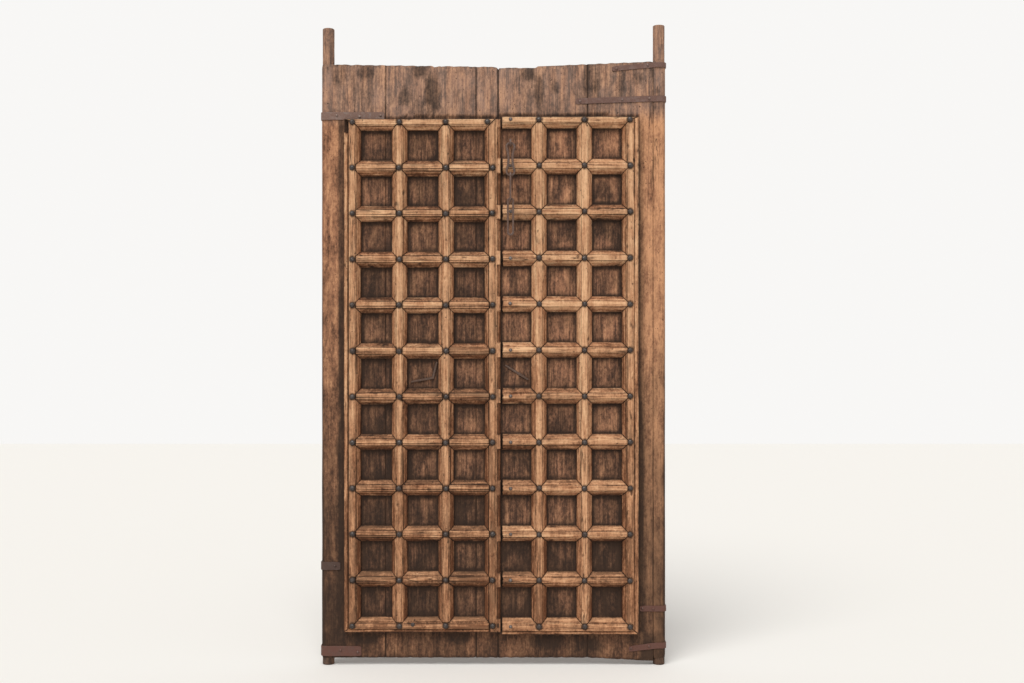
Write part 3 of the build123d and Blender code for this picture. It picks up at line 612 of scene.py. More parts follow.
def bar_marks(s, u, h, gap, dirt_and_shade, low_shade_and_dust, dust, tone, seed):
    """Grime with painted shade, wear and tone of a bar at a place: streaky hollows, dark mitres, polished or
    dusty flats, painted shade on the sloping sides, and painted shade that dims the whole bar lower down.
    """
    lofty = (h / BAR_HEIGHT) ** 2
    polish = 0.45 + 0.55 * ripple(s * 0.015, u * 0.06, seed + 6.0)
    # Worn flats, made less pale lower down the door as painted shade
    wear_and_light = clamp((h - 22) / 8) * polish * (1 - 0.55 * low_shade_and_dust)
    seam = 1.2 * smooth(1 - gap / 4.0) * max(lofty, 0.75)
    near = 0.3 * smooth(1 - gap / 9.0) * lofty
    streaks = clamp(0.8 + 0.8 * ripple(s * 0.012, u * 0.05, seed + 11.0), 0.2, 1.15)
    grime_and_shade = max(dirt_and_shade * (1 - 0.45 * dust) * streaks, seam, near, 1 - h / 9)
    # Painted shade: sloping sides darker than the flats, more so lower down, and the whole bar darker lower
    # down
    tone = tone + 0.1 - (0.12 + 0.1 * low_shade_and_dust) * smooth((25.5 - h) / 7.0) - 0.42 * low_shade_and_dust
    return grime_and_shade, max(wear_and_light, 0.35 * dust), tone + 0.12 * dust


def carve_bar(
    piece, section, low_edge, high_edge, place, seed, tone,
    base=-0.8, step=4.0, rough_start=0.0, lift=None, nails=(),
):
    """One moulded bar: its section between two side edges along its length, worn and eased at the mitres."""
    crossings = even_steps([point[0] for point in section], 2.6)
    height_line = [(p[0], p[1]) for p in section]
    darkness_line = [(p[0], p[2]) for p in section]
    breaks = sorted({round(s, 3) for s, value in low_edge + high_edge})
    first, last = breaks[0], breaks[-1]
    rims = [first + r for r in RIM_STEPS[1:]] + [last - r for r in RIM_STEPS[1:]]
    stations = even_steps(sorted(set(breaks + rims)), step)
    chance = random.Random(seed)
    pits = []
    for n in range(int((last - first) / PIT_SPACING)):
        pits.append((chance.uniform(first, last), chance.uniform(-20.0, 20.0), chance.uniform(1.0, 2.4)))
    rows = []
    for s in stations:
        near_nails = [nail for nail in nails if abs(nail - s) < NAIL_REACH]
        near_pits = [pit for pit in pits if abs(pit[0] - s) < PIT_REACH]
        low, high = along(low_edge, s), along(high_edge, s)
        sway = ripple(s * 0.006, seed, 3.0) * 0.5
        rim = [min(r, 0.3 * (high - low)) for r in RIM_STEPS]
        places = [low + r for r in rim] + [clamp(u, low + rim[-1], high - rim[-1]) for u in crossings]
        places += [high - r for r in rim[::-1]]
        row = []
        for u in places:
            h, dirt_and_shade = along(height_line, u), along(darkness_line, u)
            if lift:
                h, dirt_and_shade = lift(s, u, h, dirt_and_shade)
            gap = min(u - low, high - u, s - first, last - s)
            drop, dent, chip = worn_down(s, u, h, gap, seed)
            shift = ripple(s * 0.02, u * 0.05, seed + 2.0) * 0.3
            ragged = 0.0
            if rough_start and s - first < ROUGH_LENGTH:
                ragged = rough_start * clamp(ripple(u * 0.09, seed, 5.0) + 0.45)
                ragged *= 1 - (s - first) / ROUGH_LENGTH
            # Painted shade dims the bars lower down the door, where dust also settles
            low_shade_and_dust = smooth((SHADE_AND_DUST_TOP - place(s, u, h)[2]) / SHADE_AND_DUST_FADE)
            dust = settled_dust(height_line, place, s, u, h, low_shade_and_dust)
            grime_and_shade, wear_and_light, tone_and_shade = bar_marks(s, u, h, gap, dirt_and_shade, low_shade_and_dust, dust, tone, seed)
            grime_and_shade = grime_and_shade + dent * 1.5 + chip * 2.0
            # Painted shade around each nail head
            for nail in near_nails:
                grime_and_shade = max(grime_and_shade, 0.8 * smooth((NAIL_SHADE - math.hypot(s - nail, u)) / 5.0))
            for pit_s, pit_u, pit_r in near_pits:
                pit = smooth((pit_r + 1.5 - math.hypot(s - pit_s, u - pit_u)) / 2.5)
                grime_and_shade, drop = max(grime_and_shade, 0.9 * pit), drop + 2.0 * pit
            point = place(s + ragged, u + sway * 0.5 + shift, min(h - drop, BAR_HEIGHT))
            row.append(piece.add(point, grime_and_shade, wear_and_light, tone_and_shade))
        wall = [piece.add(place(s, edge, base), 1.0, 0.0, tone) for edge in (low, high)]
        rows.append([wall[0]] + row + [wall[1]])
    piece.grid(rows, closed=True)
    for row, s, flip in ((rows[0], first, True), (rows[-1], last, False)):
        if along(high_edge, s) - along(low_edge, s) > 0.5:
            piece.faces.append(tuple(row[::-1] if flip else row))


def notches(rows, side, run):
    """Side of a bar, left or right of its middle, with a mitred notch at each crossing."""
    neck = side - math.copysign(run, side)
    line = []
    for row in rows:
        low, high = row - HALF_BAR, row + HALF_BAR
        line += [(low, side), (low + run, neck), (high - run, neck), (high, side)]
    return line


def bar_tone(name):
    """A steady lightness of its own for each bar, paler on the right leaf, and a seed for its wear."""
    chance = random.Random(name)
    pale = 0.17 if name.startswith("right") else 0.0
    return chance.uniform(0.2, 0.58) + pale, chance.uniform(0.0, 400.0)


def upright_place(x, turn):
    return lambda s, u, h: (x + turn * u, FRONT - h, s)


def rail_place(row, turn_x, turn_z):
    return lambda s, u, h: (turn_x * s, FRONT - h, row + turn_z * u)


def make_upright(node, x, rows, run):
    """An inner upright, notched on both sides at every crossing."""
    piece = Piece()
    bottom = rows[0] + HALF_BAR - run + MITRE_GAP
    top = rows[-1] - HALF_BAR + run - MITRE_GAP
    neck = HALF_BAR - run
    edges = []
    for sign in (-1, 1):
        side, tip = sign * HALF_BAR, sign * neck
        start, end = [(bottom, tip), (bottom + run, side)], [(top - run, side), (top, tip)]
        edges.append(start + notches(rows[1:-1], side, run) + end)
    tone, seed = bar_tone(node)
    half = LEFT_UPRIGHT_HALF if node.startswith("left") else RIGHT_UPRIGHT_HALF
    section = [(-u, h, d) for u, h, d in half[:0:-1]] + half
    carve_bar(piece, section, edges[0], edges[1], upright_place(x, 1), seed, tone + 0.1, nails=rows)
    piece.finish(f"{node}_carved", f"{node.split('_')[0]}_leaf", upright_teak, [node])


def make_outer_upright(node, x, turn, rows, run):
    """An outer upright with its strip outside, mitred to the borders."""
    piece = Piece()
    low, high = box_mm(node)[0][2], box_mm(node)[1][2]
    outside = [(low, -OUTER_MARGIN), (high, -OUTER_MARGIN)]
    inside = [(low, -OUTER_MARGIN), (rows[0], 0.0), (rows[0] + HALF_BAR, HALF_BAR)]
    inside += notches(rows[1:-1], HALF_BAR, run)
    inside += [(rows[-1] - HALF_BAR, HALF_BAR), (rows[-1], 0.0), (high, -OUTER_MARGIN)]
    tone, seed = bar_tone(node)

    def broken_strip(s, u, h, dirt_and_shade):
        """Top of the left outer strip, broken away."""
        gone = smooth((s - high + 58.0 + 0.5 * u) / 3.0) * smooth((-15.0 - u) / 2.0) if turn > 0 else 0.0
        return h + (4.0 - h) * gone, max(dirt_and_shade, gone)

    place = upright_place(x, turn)
    section = LEFT_OUTER_SECTION if turn > 0 else RIGHT_OUTER_SECTION
    carve_bar(piece, section, outside, inside, place, seed, tone, lift=broken_strip, nails=rows)
    piece.finish(f"{node}_carved", f"{node.split('_')[0]}_leaf", upright_teak, [node])


def make_cover():
    """The strip that covers the meeting line, mitred at its top and necked at its bottom."""
    piece = Piece()
    node = "left_meeting_cover"
    low, high = box_mm(node)[0][2], box_mm(node)[1][2]
    block_half, block_start, block_height = 25.0, 14.0, 27.4
    side = COVER_X - COVER_LEFT
    inner = LEFT_ROWS[-1] - HALF_BAR
    left = [(low, -side + LEFT_RUN), (LEFT_ROWS[0] + HALF_BAR - LEFT_RUN, -side + LEFT_RUN)]
    left += [(LEFT_ROWS[0] + HALF_BAR, -side)]
    left += notches(LEFT_ROWS[1:-1], -side, LEFT_RUN)
    left += [(inner, -side), (high, -side + high - inner)]

    def stop_block(s, u, h, dirt_and_shade):
        """Uncut blocks in the right-hand moulding, one before each square rail end."""
        reach = min(abs(s - row) for row in RIGHT_ROWS)
        if u < block_start or reach > block_half + 1:
            return h, dirt_and_shade
        block = smooth((block_half - reach) / 2.0) * smooth((u - block_start) / 1.5)
        notch = 0.9 * smooth(1 - abs(reach - block_half) / 2.5)
        return h + (block_height - h) * block, max(dirt_and_shade * (1 - block), notch)

    def cover_marks(s, u, h, dirt_and_shade):
        """The cover's blocks, and the dark stain beside its lowest nail."""
        stain = smooth((8.0 - abs(s - LEFT_ROWS[0])) / 2.0) * smooth((9.0 - abs(u - 14.0)) / 2.0)
        h, dirt_and_shade = stop_block(s, u, h, dirt_and_shade)
        return h, max(dirt_and_shade, 0.95 * stain)

    right = [(low, side), (high, side)]
    place = upright_place(COVER_X, 1)
    nails = LEFT_ROWS[:-1]
    carve_bar(piece, COVER_SECTION, left, right, place, 211.0, 0.34, base=0.4, lift=cover_marks, nails=nails)
    piece.finish(f"{node}_carved", "left_leaf", upright_teak, [node])


def make_border(node, rows, run):
    """A border rail: mitred at its corner, notched for the uprights' tips."""
    leaf, place = node.split("_")[0], node.split("_")[1]
    turn_x = 1 if leaf == "left" else -1
    turn_z = 1 if place == "bottom" else -1
    row = rows[0] if place == "bottom" else rows[-1]
    lattice_x, outer_x, columns = LEFT_LATTICE_X, LEFT_OUTER_X, LEFT_COLUMNS
    if leaf == "right":
        lattice_x, outer_x, columns = RIGHT_LATTICE_X, RIGHT_OUTER_X, RIGHT_COLUMNS
    margin = TOP_MARGIN
    section = TOP_BORDER_SECTION
    if place == "bottom":
        margin = LEFT_BOTTOM_MARGIN if leaf == "left" else RIGHT_BOTTOM_MARGIN
        section = bottom_border_section(margin)
    corner = turn_x * outer_x + MITRE_GAP
    inside = [(turn_x * lattice_x + MITRE_GAP, -margin), (corner, 0.0), (corner + HALF_BAR, HALF_BAR)]
    inside += notches(sorted(turn_x * x for x in columns), HALF_BAR, run)
    tip = COVER_LEFT - MITRE_GAP
    if leaf == "right":
        inside += [(-RAIL_START, HALF_BAR)]
    elif place == "top":
        inside += [(tip, HALF_BAR), (tip + HALF_BAR + margin, -margin)]
    else:
        inside += [(tip, HALF_BAR), (tip + run, HALF_BAR - run)]
    outside = [(inside[0][0], -margin), (inside[-1][0], -margin)]
    piece = Piece()
    tone, seed = bar_tone(node)
    nails = [turn_x * x for x in columns + [outer_x]]
    if node == "left_top_border":
        nails.append(CORNER_NAIL_X)
    carve_bar(piece, section, outside, inside, rail_place(row, turn_x, turn_z), seed, tone, nails=nails)
    piece.finish(f"{node}_carved", f"{leaf}_leaf", rail_teak, [node])


def make_rail_row(leaf, number):
    """A row of short rails, each with its own tone; the right leaf's first ends square and ragged."""
    left = leaf == "left"
    rows, run = (LEFT_ROWS, LEFT_RUN) if left else (RIGHT_ROWS, RIGHT_RUN)
    section = LEFT_RAIL_SECTION if left else RIGHT_RAIL_SECTION
    inset = HALF_BAR + MITRE_GAP
    if left:
        starts = [x + inset for x in [LEFT_OUTER_X] + LEFT_COLUMNS]
        ends = [x - inset for x in LEFT_COLUMNS] + [COVER_LEFT - MITRE_GAP]
    else:
        starts = [RAIL_START] + [x + inset for x in RIGHT_COLUMNS]
        ends = [x - inset for x in RIGHT_COLUMNS + [RIGHT_OUTER_X]]
    piece = Piece()
    node = f"{leaf}_rail_row_{number:02d}"
    for bay, (start, end) in enumerate(zip(starts, ends)):
        edges = []
        square = not left and bay == 0
        for sign in (-1, 1):
            side, neck = sign * HALF_BAR, sign * (HALF_BAR - run)
            opening = [(start, side)] if square else [(start - run, neck), (start, side)]
            edges.append(opening + [(end, side), (end + run, neck)])
        tone, seed = bar_tone(f"{node} {bay}")
        place = rail_place(rows[number], 1, 1)
        carve_bar(piece, section, edges[0], edges[1], place, seed, tone, rough_start=4.0 if square else 0.0)
    piece.finish(f"{node}_carved", f"{leaf}_leaf", rail_teak, [node])


for number, x in enumerate(LEFT_COLUMNS, 1):
    make_upright(f"left_upright_{number}", x, LEFT_ROWS, LEFT_RUN)
for number, x in enumerate(RIGHT_COLUMNS, 1):
    make_upright(f"right_upright_{number}", x, RIGHT_ROWS, RIGHT_RUN)
make_outer_upright("left_outer_upright", LEFT_OUTER_X, 1, LEFT_ROWS, LEFT_RUN)
make_outer_upright("right_outer_upright", RIGHT_OUTER_X, -1, RIGHT_ROWS, RIGHT_RUN)
make_cover()
for place in ("top", "bottom"):
    make_border(f"left_{place}_border", LEFT_ROWS, LEFT_RUN)
    make_border(f"right_{place}_border", RIGHT_ROWS, RIGHT_RUN)
for number in range(1, 11):
    make_rail_row("left", number)
    make_rail_row("right", number)


def coffer_depth(x, z, columns, rows):
    """How far a place lies inside its coffer from the nearest bar, in millimetres; 0 under a bar."""
    across = min(abs(x - column) for column in columns)
    down = min(abs(z - row) for row in rows)
    return max(0.0, min(across, down) - HALF_BAR)


# Stains and bare patches on the front: middle, half sizes, and the dirt they add or take away
STAINS = [
    (-423, 1961, 30, 24, 0.5), (-245, 1969, 24, 26, 0.5), (-202, 1890, 30, 70, 0.6),
    (-294, 1881, 24, 36, 0.4),
    (-510, 1950, 26, 40, 0.35), (-313, 1838, 34, 20, -0.5), (-241, 1911, 14, 38, -0.5),
    (-30, 1884, 24, 60, -0.4),
    (-545, 1900, 18, 62, -0.4), (-100, 1930, 40, 30, -0.2), (-380, 1870, 30, 40, -0.25),
    (117, 1955, 28, 28, 0.5),
    (150, 1890, 17, 74, 0.55), (209, 1914, 24, 26, 0.5), (309, 1929, 15, 64, 0.5),
    (338, 1914, 22, 22, 0.35),
    (422, 1925, 14, 54, 0.45), (474, 1940, 22, 24, 0.4), (36, 1915, 30, 66, -0.4),
    (231, 1930, 24, 44, -0.4),
    (365, 1905, 22, 34, -0.35), (455, 1841, 34, 16, -0.5), (270, 1850, 24, 30, -0.25),
    (545, 1940, 12, 30, -0.5),
    (-430, 90, 60, 24, 0.25), (-340, 70, 40, 40, -0.3), (-120, 95, 50, 26, 0.3), (-60, 60, 30, 30, -0.15),
    (180, 80, 60, 30, 0.3), (330, 70, 40, 26, 0.25), (480, 90, 40, 26, 0.3),
]


def stain_at(x, z):
    """Dirt that the stains near a place add, with ragged outlines."""
    total = 0.0
    for middle_x, middle_z, half_x, half_z, amount in STAINS:
        if abs(x - middle_x) < 1.6 * half_x and abs(z - middle_z) < 1.6 * half_z:
            reach = math.hypot((x - middle_x) / half_x, (z - middle_z) / half_z)
            ragged = 0.35 * ripple(x * 0.06, z * 0.03, middle_x)
            total += amount * smooth((1.25 + ragged - reach) / 0.7)
    return total


def head_marks(x, z, blotch, fine):
    """Marks of the bare heads of the boards: stained, grey and worn."""
    return 0.26 + 0.15 * blotch + 0.2 * fine + stain_at(x, z), 0.75 + 0.4 * fine, 0.5 + 0.2 * blotch, 0.0


def board_marks(leaf, x, z, back):
    """Dirt and painted shade, wear, tone and calm of the boards: dark coffers with a painted shadow under
    each rail, paler heads, grimy feet, dark bands and painted shade on the rounded outer edges.
    """
    left = leaf == "left"
    blotch = ripple(x * 0.011, z * 0.007, 40.0)
    fine = ripple(x * 0.05, z * 0.012, 60.0)
    if back:
        return 0.34 + 0.25 * blotch + 0.2 * fine, 0.5, 0.45 + 0.2 * fine, 0.0
    columns = LEFT_BARS_X if left else RIGHT_BARS_X
    rows = LEFT_ROWS if left else RIGHT_ROWS
    side = LEFT_LATTICE_X if left else RIGHT_LATTICE_X
    out = (side - x) if left else (x - side)
    top = rows[-1] + TOP_MARGIN
    bottom = rows[0] - (LEFT_BOTTOM_MARGIN if left else RIGHT_BOTTOM_MARGIN)
    height = clamp((z - bottom) / (top - bottom))
    bare = smooth((z - top + 25.0 + 20.0 * blotch) / 70.0) if out > 0 else float(z > top + 14)
    if bare == 1:
        return head_marks(x, z, blotch, fine)
    if out > 0:
        dirt_and_shade = (0.94 - 0.94 * smooth(height * 1.2)) if left else (0.86 - 0.94 * smooth(height * 1.1))
        if z < bottom:
            dirt_and_shade += 0.1
        elif left:
            dirt_and_shade += 0.8 * smooth((26.0 + 8.0 * ripple(z * 0.009, 7.0, 3.0) - out) / 9.0)
        else:
            dirt_and_shade += 0.6 * smooth(1 - (out - 8) / 20)
        # Painted shade on the rounded outer edge of the leaf
        dirt_and_shade += 0.35 * smooth(1 - abs(x - (LEFT_EDGE_X if left else RIGHT_EDGE_X)) / 13.0)
        stile = (dirt_and_shade + 0.15 * fine + 0.12 * blotch, 0.0, (0.52 if left else 0.92) + 0.2 * blotch, 0.5)
        head = head_marks(x, z, blotch, fine) if bare > 0 else stile
        return tuple(low + (high - low) * bare for low, high in zip(stile, head))
    if z > top:
        return 0.85 + 0.25 * fine, 0.0, 0.4, 0.0
    if z < bottom:
        return 0.74 + 0.15 * blotch + 0.2 * fine + stain_at(x, z), 0.0, 0.42 + 0.2 * fine, 0.45
    depth = coffer_depth(x, z, columns, rows)
    under = min(row - HALF_BAR - z for row in rows if row - HALF_BAR >= z - 2 * HALF_BAR)
    column = bisect.bisect(columns, x)
    row = bisect.bisect(rows, z)
    own = random.Random(f"{leaf} {column} {row}").uniform(-0.14, 0.14)
    patch = smooth((ripple(x * 0.024, z * 0.017, 80.0) + 0.12) * 2.2) * smooth(depth / 20)
    if left:
        dirt_and_shade = 0.66 + 0.26 * (1 - height) + own - 0.2 * patch
    else:
        dirt_and_shade = 0.57 + 0.35 * smooth(1 - height / 0.62) + own - (0.2 + 0.35 * smooth(height * 2 - 0.4)) * patch
    # Darker close to every bar, with a painted shadow under each rail
    dirt_and_shade += 0.5 * smooth(1 - depth / 12) + 0.2 * fine + 0.35 * smooth(1 - under / 18)
    return dirt_and_shade, 0.1, 0.45 + 0.25 * fine, 0.25


MEETING_ROUND = 7.0
FAR_FROM_SEAM = 99.0


def make_board(piece, leaf, left_x, right_x, bottom, top, seed, seams=(True, True), slants=(0.0, 0.0)):
    """One board, a grid in front and behind, with eased arrises and rough ends; slants shift its back."""
    marks_x = [left_x, left_x + 1.2, left_x + 4.0, right_x - 4.0, right_x - 1.2, right_x]
    across = even_steps(marks_x, 8.0)
    tiers = 200
    faces = {}
    for back in (False, True):
        rows = []
        for tier in range(tiers + 1):
            row = []
            for x in across:
                low = bottom(x) + 2.5 * clamp(ripple(x * 0.06, seed, 1.0) + 0.2)
                meeting = abs(x - MEETING_X)
                rounded = MEETING_ROUND * clamp(1 - meeting / MEETING_ROUND) ** 2
                high = top(x) - 3.5 * clamp(ripple(x * 0.05, seed, 8.0) + 0.25) - rounded
                z = low + (high - low) * tier / tiers
                left_gap = x - left_x if seams[0] else FAR_FROM_SEAM
                right_gap = right_x - x if seams[1] else FAR_FROM_SEAM
                edge = min(left_gap, right_gap)
                end = min(high - z, z - low)
                ease = 2.2 * clamp(1 - edge / 4.0) ** 2 + 2.0 * clamp(1 - end / 9.0) ** 2
                relief = ease + 0.5 * abs(ripple(x * 0.03, z * 0.004, seed))
                relief += 0.25 * abs(ripple(x * 0.12, z * 0.01, seed))
                dirt_and_shade, wear_and_light, tone, calm = board_marks(leaf, x, z, back)
                hidden = LEFT_ROWS[0] < z < LEFT_ROWS[-1]
                dirt_and_shade += (0.25 if hidden else 0.7) * smooth(1 - edge / 4.5) + 0.25 * smooth(1 - end / 10.0)
                # Painted shade along the meeting line, where the gap between the leaves lies in shade
                dirt_and_shade += smooth((4.5 - meeting) / 2.5)
                y = BACK - relief * 0.6 if back else FRONT + relief
                shift = slants[0] if x == left_x else slants[1] if x == right_x else 0.0
                row.append(piece.add((x + (shift if back else 0.0), y, z), dirt_and_shade, wear_and_light, tone, calm))
            rows.append(row)
        piece.grid(rows)
        faces[back] = rows
    front, behind = faces[False], faces[True]
    piece.grid([front[0], behind[0]])
    piece.grid([front[-1], behind[-1]])
    piece.grid([[row[0] for row in front], [row[0] for row in behind]])
    piece.grid([[row[-1] for row in front], [row[-1] for row in behind]])


def level(value):
    return lambda x: value


def slope(start, end):
    """Height along a straight edge between two (x, z) points."""
    return lambda x: start[1] + (end[1] - start[1]) * (x - start[0]) / (end[0] - start[0])


FOOT = box_mm("left_middle_board")[0][2]
left_plank_high = box_mm("left_hanging_plank")[1]
middle_low, middle_high = box_mm("left_middle_board")
edge_low, edge_high = box_mm("left_edge_board")
right_edge_low, right_edge_high = box_mm("right_edge_board")
right_outer_low, right_outer_high = box_mm("right_outer_board")
PINTLE_LENGTH = 122.0
left_tip = left_plank_high[2]
right_tip = box_mm("right_pivot_post")[1][2]
LEFT_TOP = left_tip - PINTLE_LENGTH
RIGHT_TOP = right_tip - PINTLE_LENGTH
left_top_edge = slope((LEFT_EDGE_X + PIVOT_WIDTH, LEFT_TOP), (edge_high[0], edge_high[2] - 1.2))
CHIP_X = middle_low[0] + 0.55 * (middle_high[0] - middle_low[0])


def middle_top_edge(x):
    """Top of the left middle board, with its chip."""
    return left_top_edge(x) - 6.0 * clamp(1 - abs(x - CHIP_X) / 10.0)


STEP_X = right_edge_low[0] + 0.44 * (right_outer_low[0] - right_edge_low[0])
LOW_DROP = 11.0
STEP_DROP = 6.0


def right_top_edge(x):
    """Top of the right leaf: a low stretch, a step up, then a rise to the post."""
    if x < STEP_X:
        return LEFT_TOP - LOW_DROP
    rise = (x - STEP_X) / (right_outer_high[0] - STEP_X)
    return LEFT_TOP - STEP_DROP + (RIGHT_TOP - LEFT_TOP + STEP_DROP) * rise


def make_pivot_edge(piece, leaf, outer_x, turn, top, seed):
    """The thick rounded edge that carries the pintles, swept up the leaf."""
    loop = []
    inner = PIVOT_WIDTH - 0.5
    front, behind = FRONT, FRONT + PIVOT_DEPTH
    for corner_y, first in ((front + PIVOT_ROUND, 270), (behind - PIVOT_ROUND, 180)):
        for n in range(7):
            angle = math.radians(first - 15 * n)
            d, y = PIVOT_ROUND * math.cos(angle), PIVOT_ROUND * math.sin(angle)
            loop.append((PIVOT_ROUND + d, corner_y + y))
    loop += [(PIVOT_ROUND + (inner - PIVOT_ROUND) * n / 3, behind) for n in (1, 2, 3)]
    loop += [(inner, front + (behind - front) * (1 - n / 3)) for n in (1, 2, 3)]
    loop += [(inner - (inner - PIVOT_ROUND) * n / 3, front) for n in (1, 2)]
    centre = (sum(p[0] for p in loop) / len(loop), sum(p[1] for p in loop) / len(loop))
    rows = []
    tiers = 170
    for tier in range(tiers + 1):
        z = FOOT + (top - FOOT) * tier / tiers
        end = min(z - FOOT, top - z)
        row = []
        for n, (d, y) in enumerate(loop):
            worn = 0.6 + 0.7 * ripple(z * 0.006, n * 0.4, seed) + 2.0 * clamp(1 - end / 8.0) ** 2
            worn = clamp(worn, 0.0, 6.0)
            length = math.hypot(d - centre[0], y - centre[1])
            share = 1 - worn / length
            x = outer_x + turn * (centre[0] + (d - centre[0]) * share)
            dirt_and_shade, wear_and_light, tone, calm = board_marks(leaf, outer_x + turn * d, z, y > behind - 4)
            row.append(piece.add((x, centre[1] + (y - centre[1]) * share, z), dirt_and_shade, wear_and_light, tone, calm))
        rows.append(row)
    piece.grid(rows, closed=True)
    piece.faces.append(tuple(rows[0][::-1]))
    piece.faces.append(tuple(rows[-1]))


def make_pintle(piece, x, y, base, tip, rounding, seed, dirt_and_shade):
    """A round pintle, a little uneven, with its end worn round."""
    turns = 36
    toward = 1 if tip > base else -1
    profile = [(0.0, 1.0), (0.25, 1.0), (0.5, 0.995), (0.75, 1.0), (1.0, 1.0)]
    span = abs(tip - base) - rounding
    shares = even_steps([point[0] for point in profile], 0.08)
    stages = [(span * share, PINTLE_RADIUS * along(profile, share)) for share in shares]
    for n in range(1, 7):
        angle = math.radians(15 * n)
        rise, size = rounding * math.sin(angle), rounding * math.cos(angle)
        stages.append((span + rise, PINTLE_RADIUS - rounding + size))
    rows = []
    for z, radius in stages:
        row = []
        for n in range(turns):
            angle = 2 * math.pi * n / turns
            uneven = radius - 0.5 * abs(ripple(math.cos(angle) * 1.5 + seed, math.sin(angle) * 1.5, z * 0.03))
            marks = dirt_and_shade + 0.25 * ripple(n * 0.5, z * 0.02, seed)
            point = (x + uneven * math.cos(angle), y + uneven * math.sin(angle), base + toward * z)
            row.append(piece.add(point, marks, 0.7, 0.55))
        rows.append(row)
    piece.grid(rows, closed=True)
    piece.faces.append(tuple(rows[-1]))


PIVOT_Y = FRONT + PIVOT_DEPTH / 2
LEFT_PIVOT_X = LEFT_EDGE_X + PIVOT_WIDTH / 2
RIGHT_PIVOT_X = RIGHT_EDGE_X - PIVOT_WIDTH / 2
PINTLE_SINK = 3.0
plank_joint = (left_plank_high[0] + middle_low[0]) / 2
middle_joint = (middle_high[0] + edge_low[0]) / 2
right_joint = (right_edge_high[0] + right_outer_low[0]) / 2
# The meeting edges reach into the gap between the leaves, and slant back, so that it shuts
left_meeting_x = edge_high[0] + 1.95
right_meeting_x = right_edge_low[0] - 1.85
LEFT_SLANTS = (0.0, -3.0)
RIGHT_SLANTS = (-2.7, 0.0)

plank = Piece()
make_pivot_edge(plank, "left", LEFT_EDGE_X, 1, LEFT_TOP, 5.0)
make_pintle(plank, LEFT_PIVOT_X, PIVOT_Y, LEFT_TOP - PINTLE_SINK, left_tip, 4.5, 2.0, 0.22)
make_pintle(plank, LEFT_PIVOT_X, PIVOT_Y, FOOT + PINTLE_SINK, 0.0, 3.5, 6.0, 0.8)
plank_start = LEFT_EDGE_X + PIVOT_WIDTH - 1
make_board(plank, "left", plank_start, plank_joint, level(FOOT), left_top_edge, 11.0, (False, True))
plank.finish("left_hanging_plank_worn", "left_leaf", board_teak, ["left_hanging_plank"])

middle = Piece()
make_board(middle, "left", plank_joint, middle_joint, level(FOOT), middle_top_edge, 23.0)
middle.finish("left_middle_board_worn", "left_leaf", board_teak, ["left_middle_board"])
narrow = Piece()
make_board(
    narrow, "left", middle_joint, left_meeting_x, level(FOOT), left_top_edge, 37.0, slants=LEFT_SLANTS
)
narrow.finish("left_edge_board_worn", "left_leaf", board_teak, ["left_edge_board"])

post = Piece()
make_pivot_edge(post, "right", RIGHT_EDGE_X, -1, RIGHT_TOP, 15.0)
make_pintle(post, RIGHT_PIVOT_X, PIVOT_Y, RIGHT_TOP - PINTLE_SINK, right_tip, 2.5, 8.0, 0.05)
make_pintle(post, RIGHT_PIVOT_X, PIVOT_Y, FOOT + PINTLE_SINK, 0.0, 3.5, 9.0, 0.8)
post.finish("right_pivot_post_worn", "right_leaf", board_teak, ["right_pivot_post"])
wide = Piece()
make_board(
    wide, "right", right_meeting_x, right_joint, level(FOOT), right_top_edge, 51.0, slants=RIGHT_SLANTS
)
wide.finish("right_edge_board_worn", "right_leaf", board_teak, ["right_edge_board"])
outer = Piece()
dip = slope((right_outer_low[0], FOOT), (right_outer_high[0], right_outer_low[2]))
make_board(outer, "right", right_joint, RIGHT_EDGE_X - PIVOT_WIDTH + 0.3, dip, right_top_edge, 67.0)
outer.finish("right_outer_board_worn", "right_leaf", board_teak, ["right_outer_board"])


def make_ledge(node):
    """A ledge across the back, with its arrises taken off."""
    low, high = box_mm(node)
    middle_z = (low[2] + high[2]) / 2
    piece = Piece()
    tone, seed = bar_tone(node)
    edges = [[(low[0], side), (high[0], side)] for side in (-LEDGE_HALF, LEDGE_HALF)]

    def place(s, u, h):
        return s, BACK + h, middle_z + u

    carve_bar(piece, LEDGE_SECTION, edges[0], edges[1], place, seed, tone, step=10.0)
    piece.finish(f"{node}_worn", f"{node.split('_')[0]}_leaf", ledge_teak, [node])


for leaf in ("left", "right"):
    for number in (1, 2, 3):
        make_ledge(f"{leaf}_ledge_{number}")


HEAD_RINGS = [(1.0, 0.0), (1.0, 0.16), (0.95, 0.36), (0.84, 0.56), (0.67, 0.76), (0.44, 0.91), (0.2, 0.98)]


def make_nail_head(piece, x, z, y, radius, height, seed):
    """One forged head: a low dome with hammered facets."""
    chance = random.Random(seed)
    phase, facets = chance.uniform(0, math.tau), chance.choice((4, 5, 6))
    x, z = x + chance.uniform(-1.2, 1.2), z + chance.uniform(-1.2, 1.2)
    radius *= chance.uniform(0.9, 1.0)
    tall = height * chance.uniform(0.85, 1.0)
    tilt_x, tilt_z = chance.uniform(-0.12, 0.12), chance.uniform(-0.12, 0.12)
    rows = []
    turns = 20
    for size, lift in [(1.0, -0.12)] + HEAD_RINGS:
        row = []
        for n in range(turns):
            angle = math.tau * n / turns
            flat = abs(math.cos((angle + phase) * facets / 2))
            r = radius * size * (0.93 + 0.07 * flat)
            rise = tall * lift * (1 - 0.1 * (1 - flat) * size)
            rise += (tilt_x * math.cos(angle) + tilt_z * math.sin(angle)) * r * clamp(lift)
            point = (x + r * math.cos(angle), y - clamp(rise, -3.0, height), z + r * math.sin(angle))
            row.append(piece.add(point, 0.3 * (1 - lift), lift, 0.5))
        rows.append(row)
    piece.grid(rows, closed=True)
    piece.faces.append(tuple(rows[-1]))


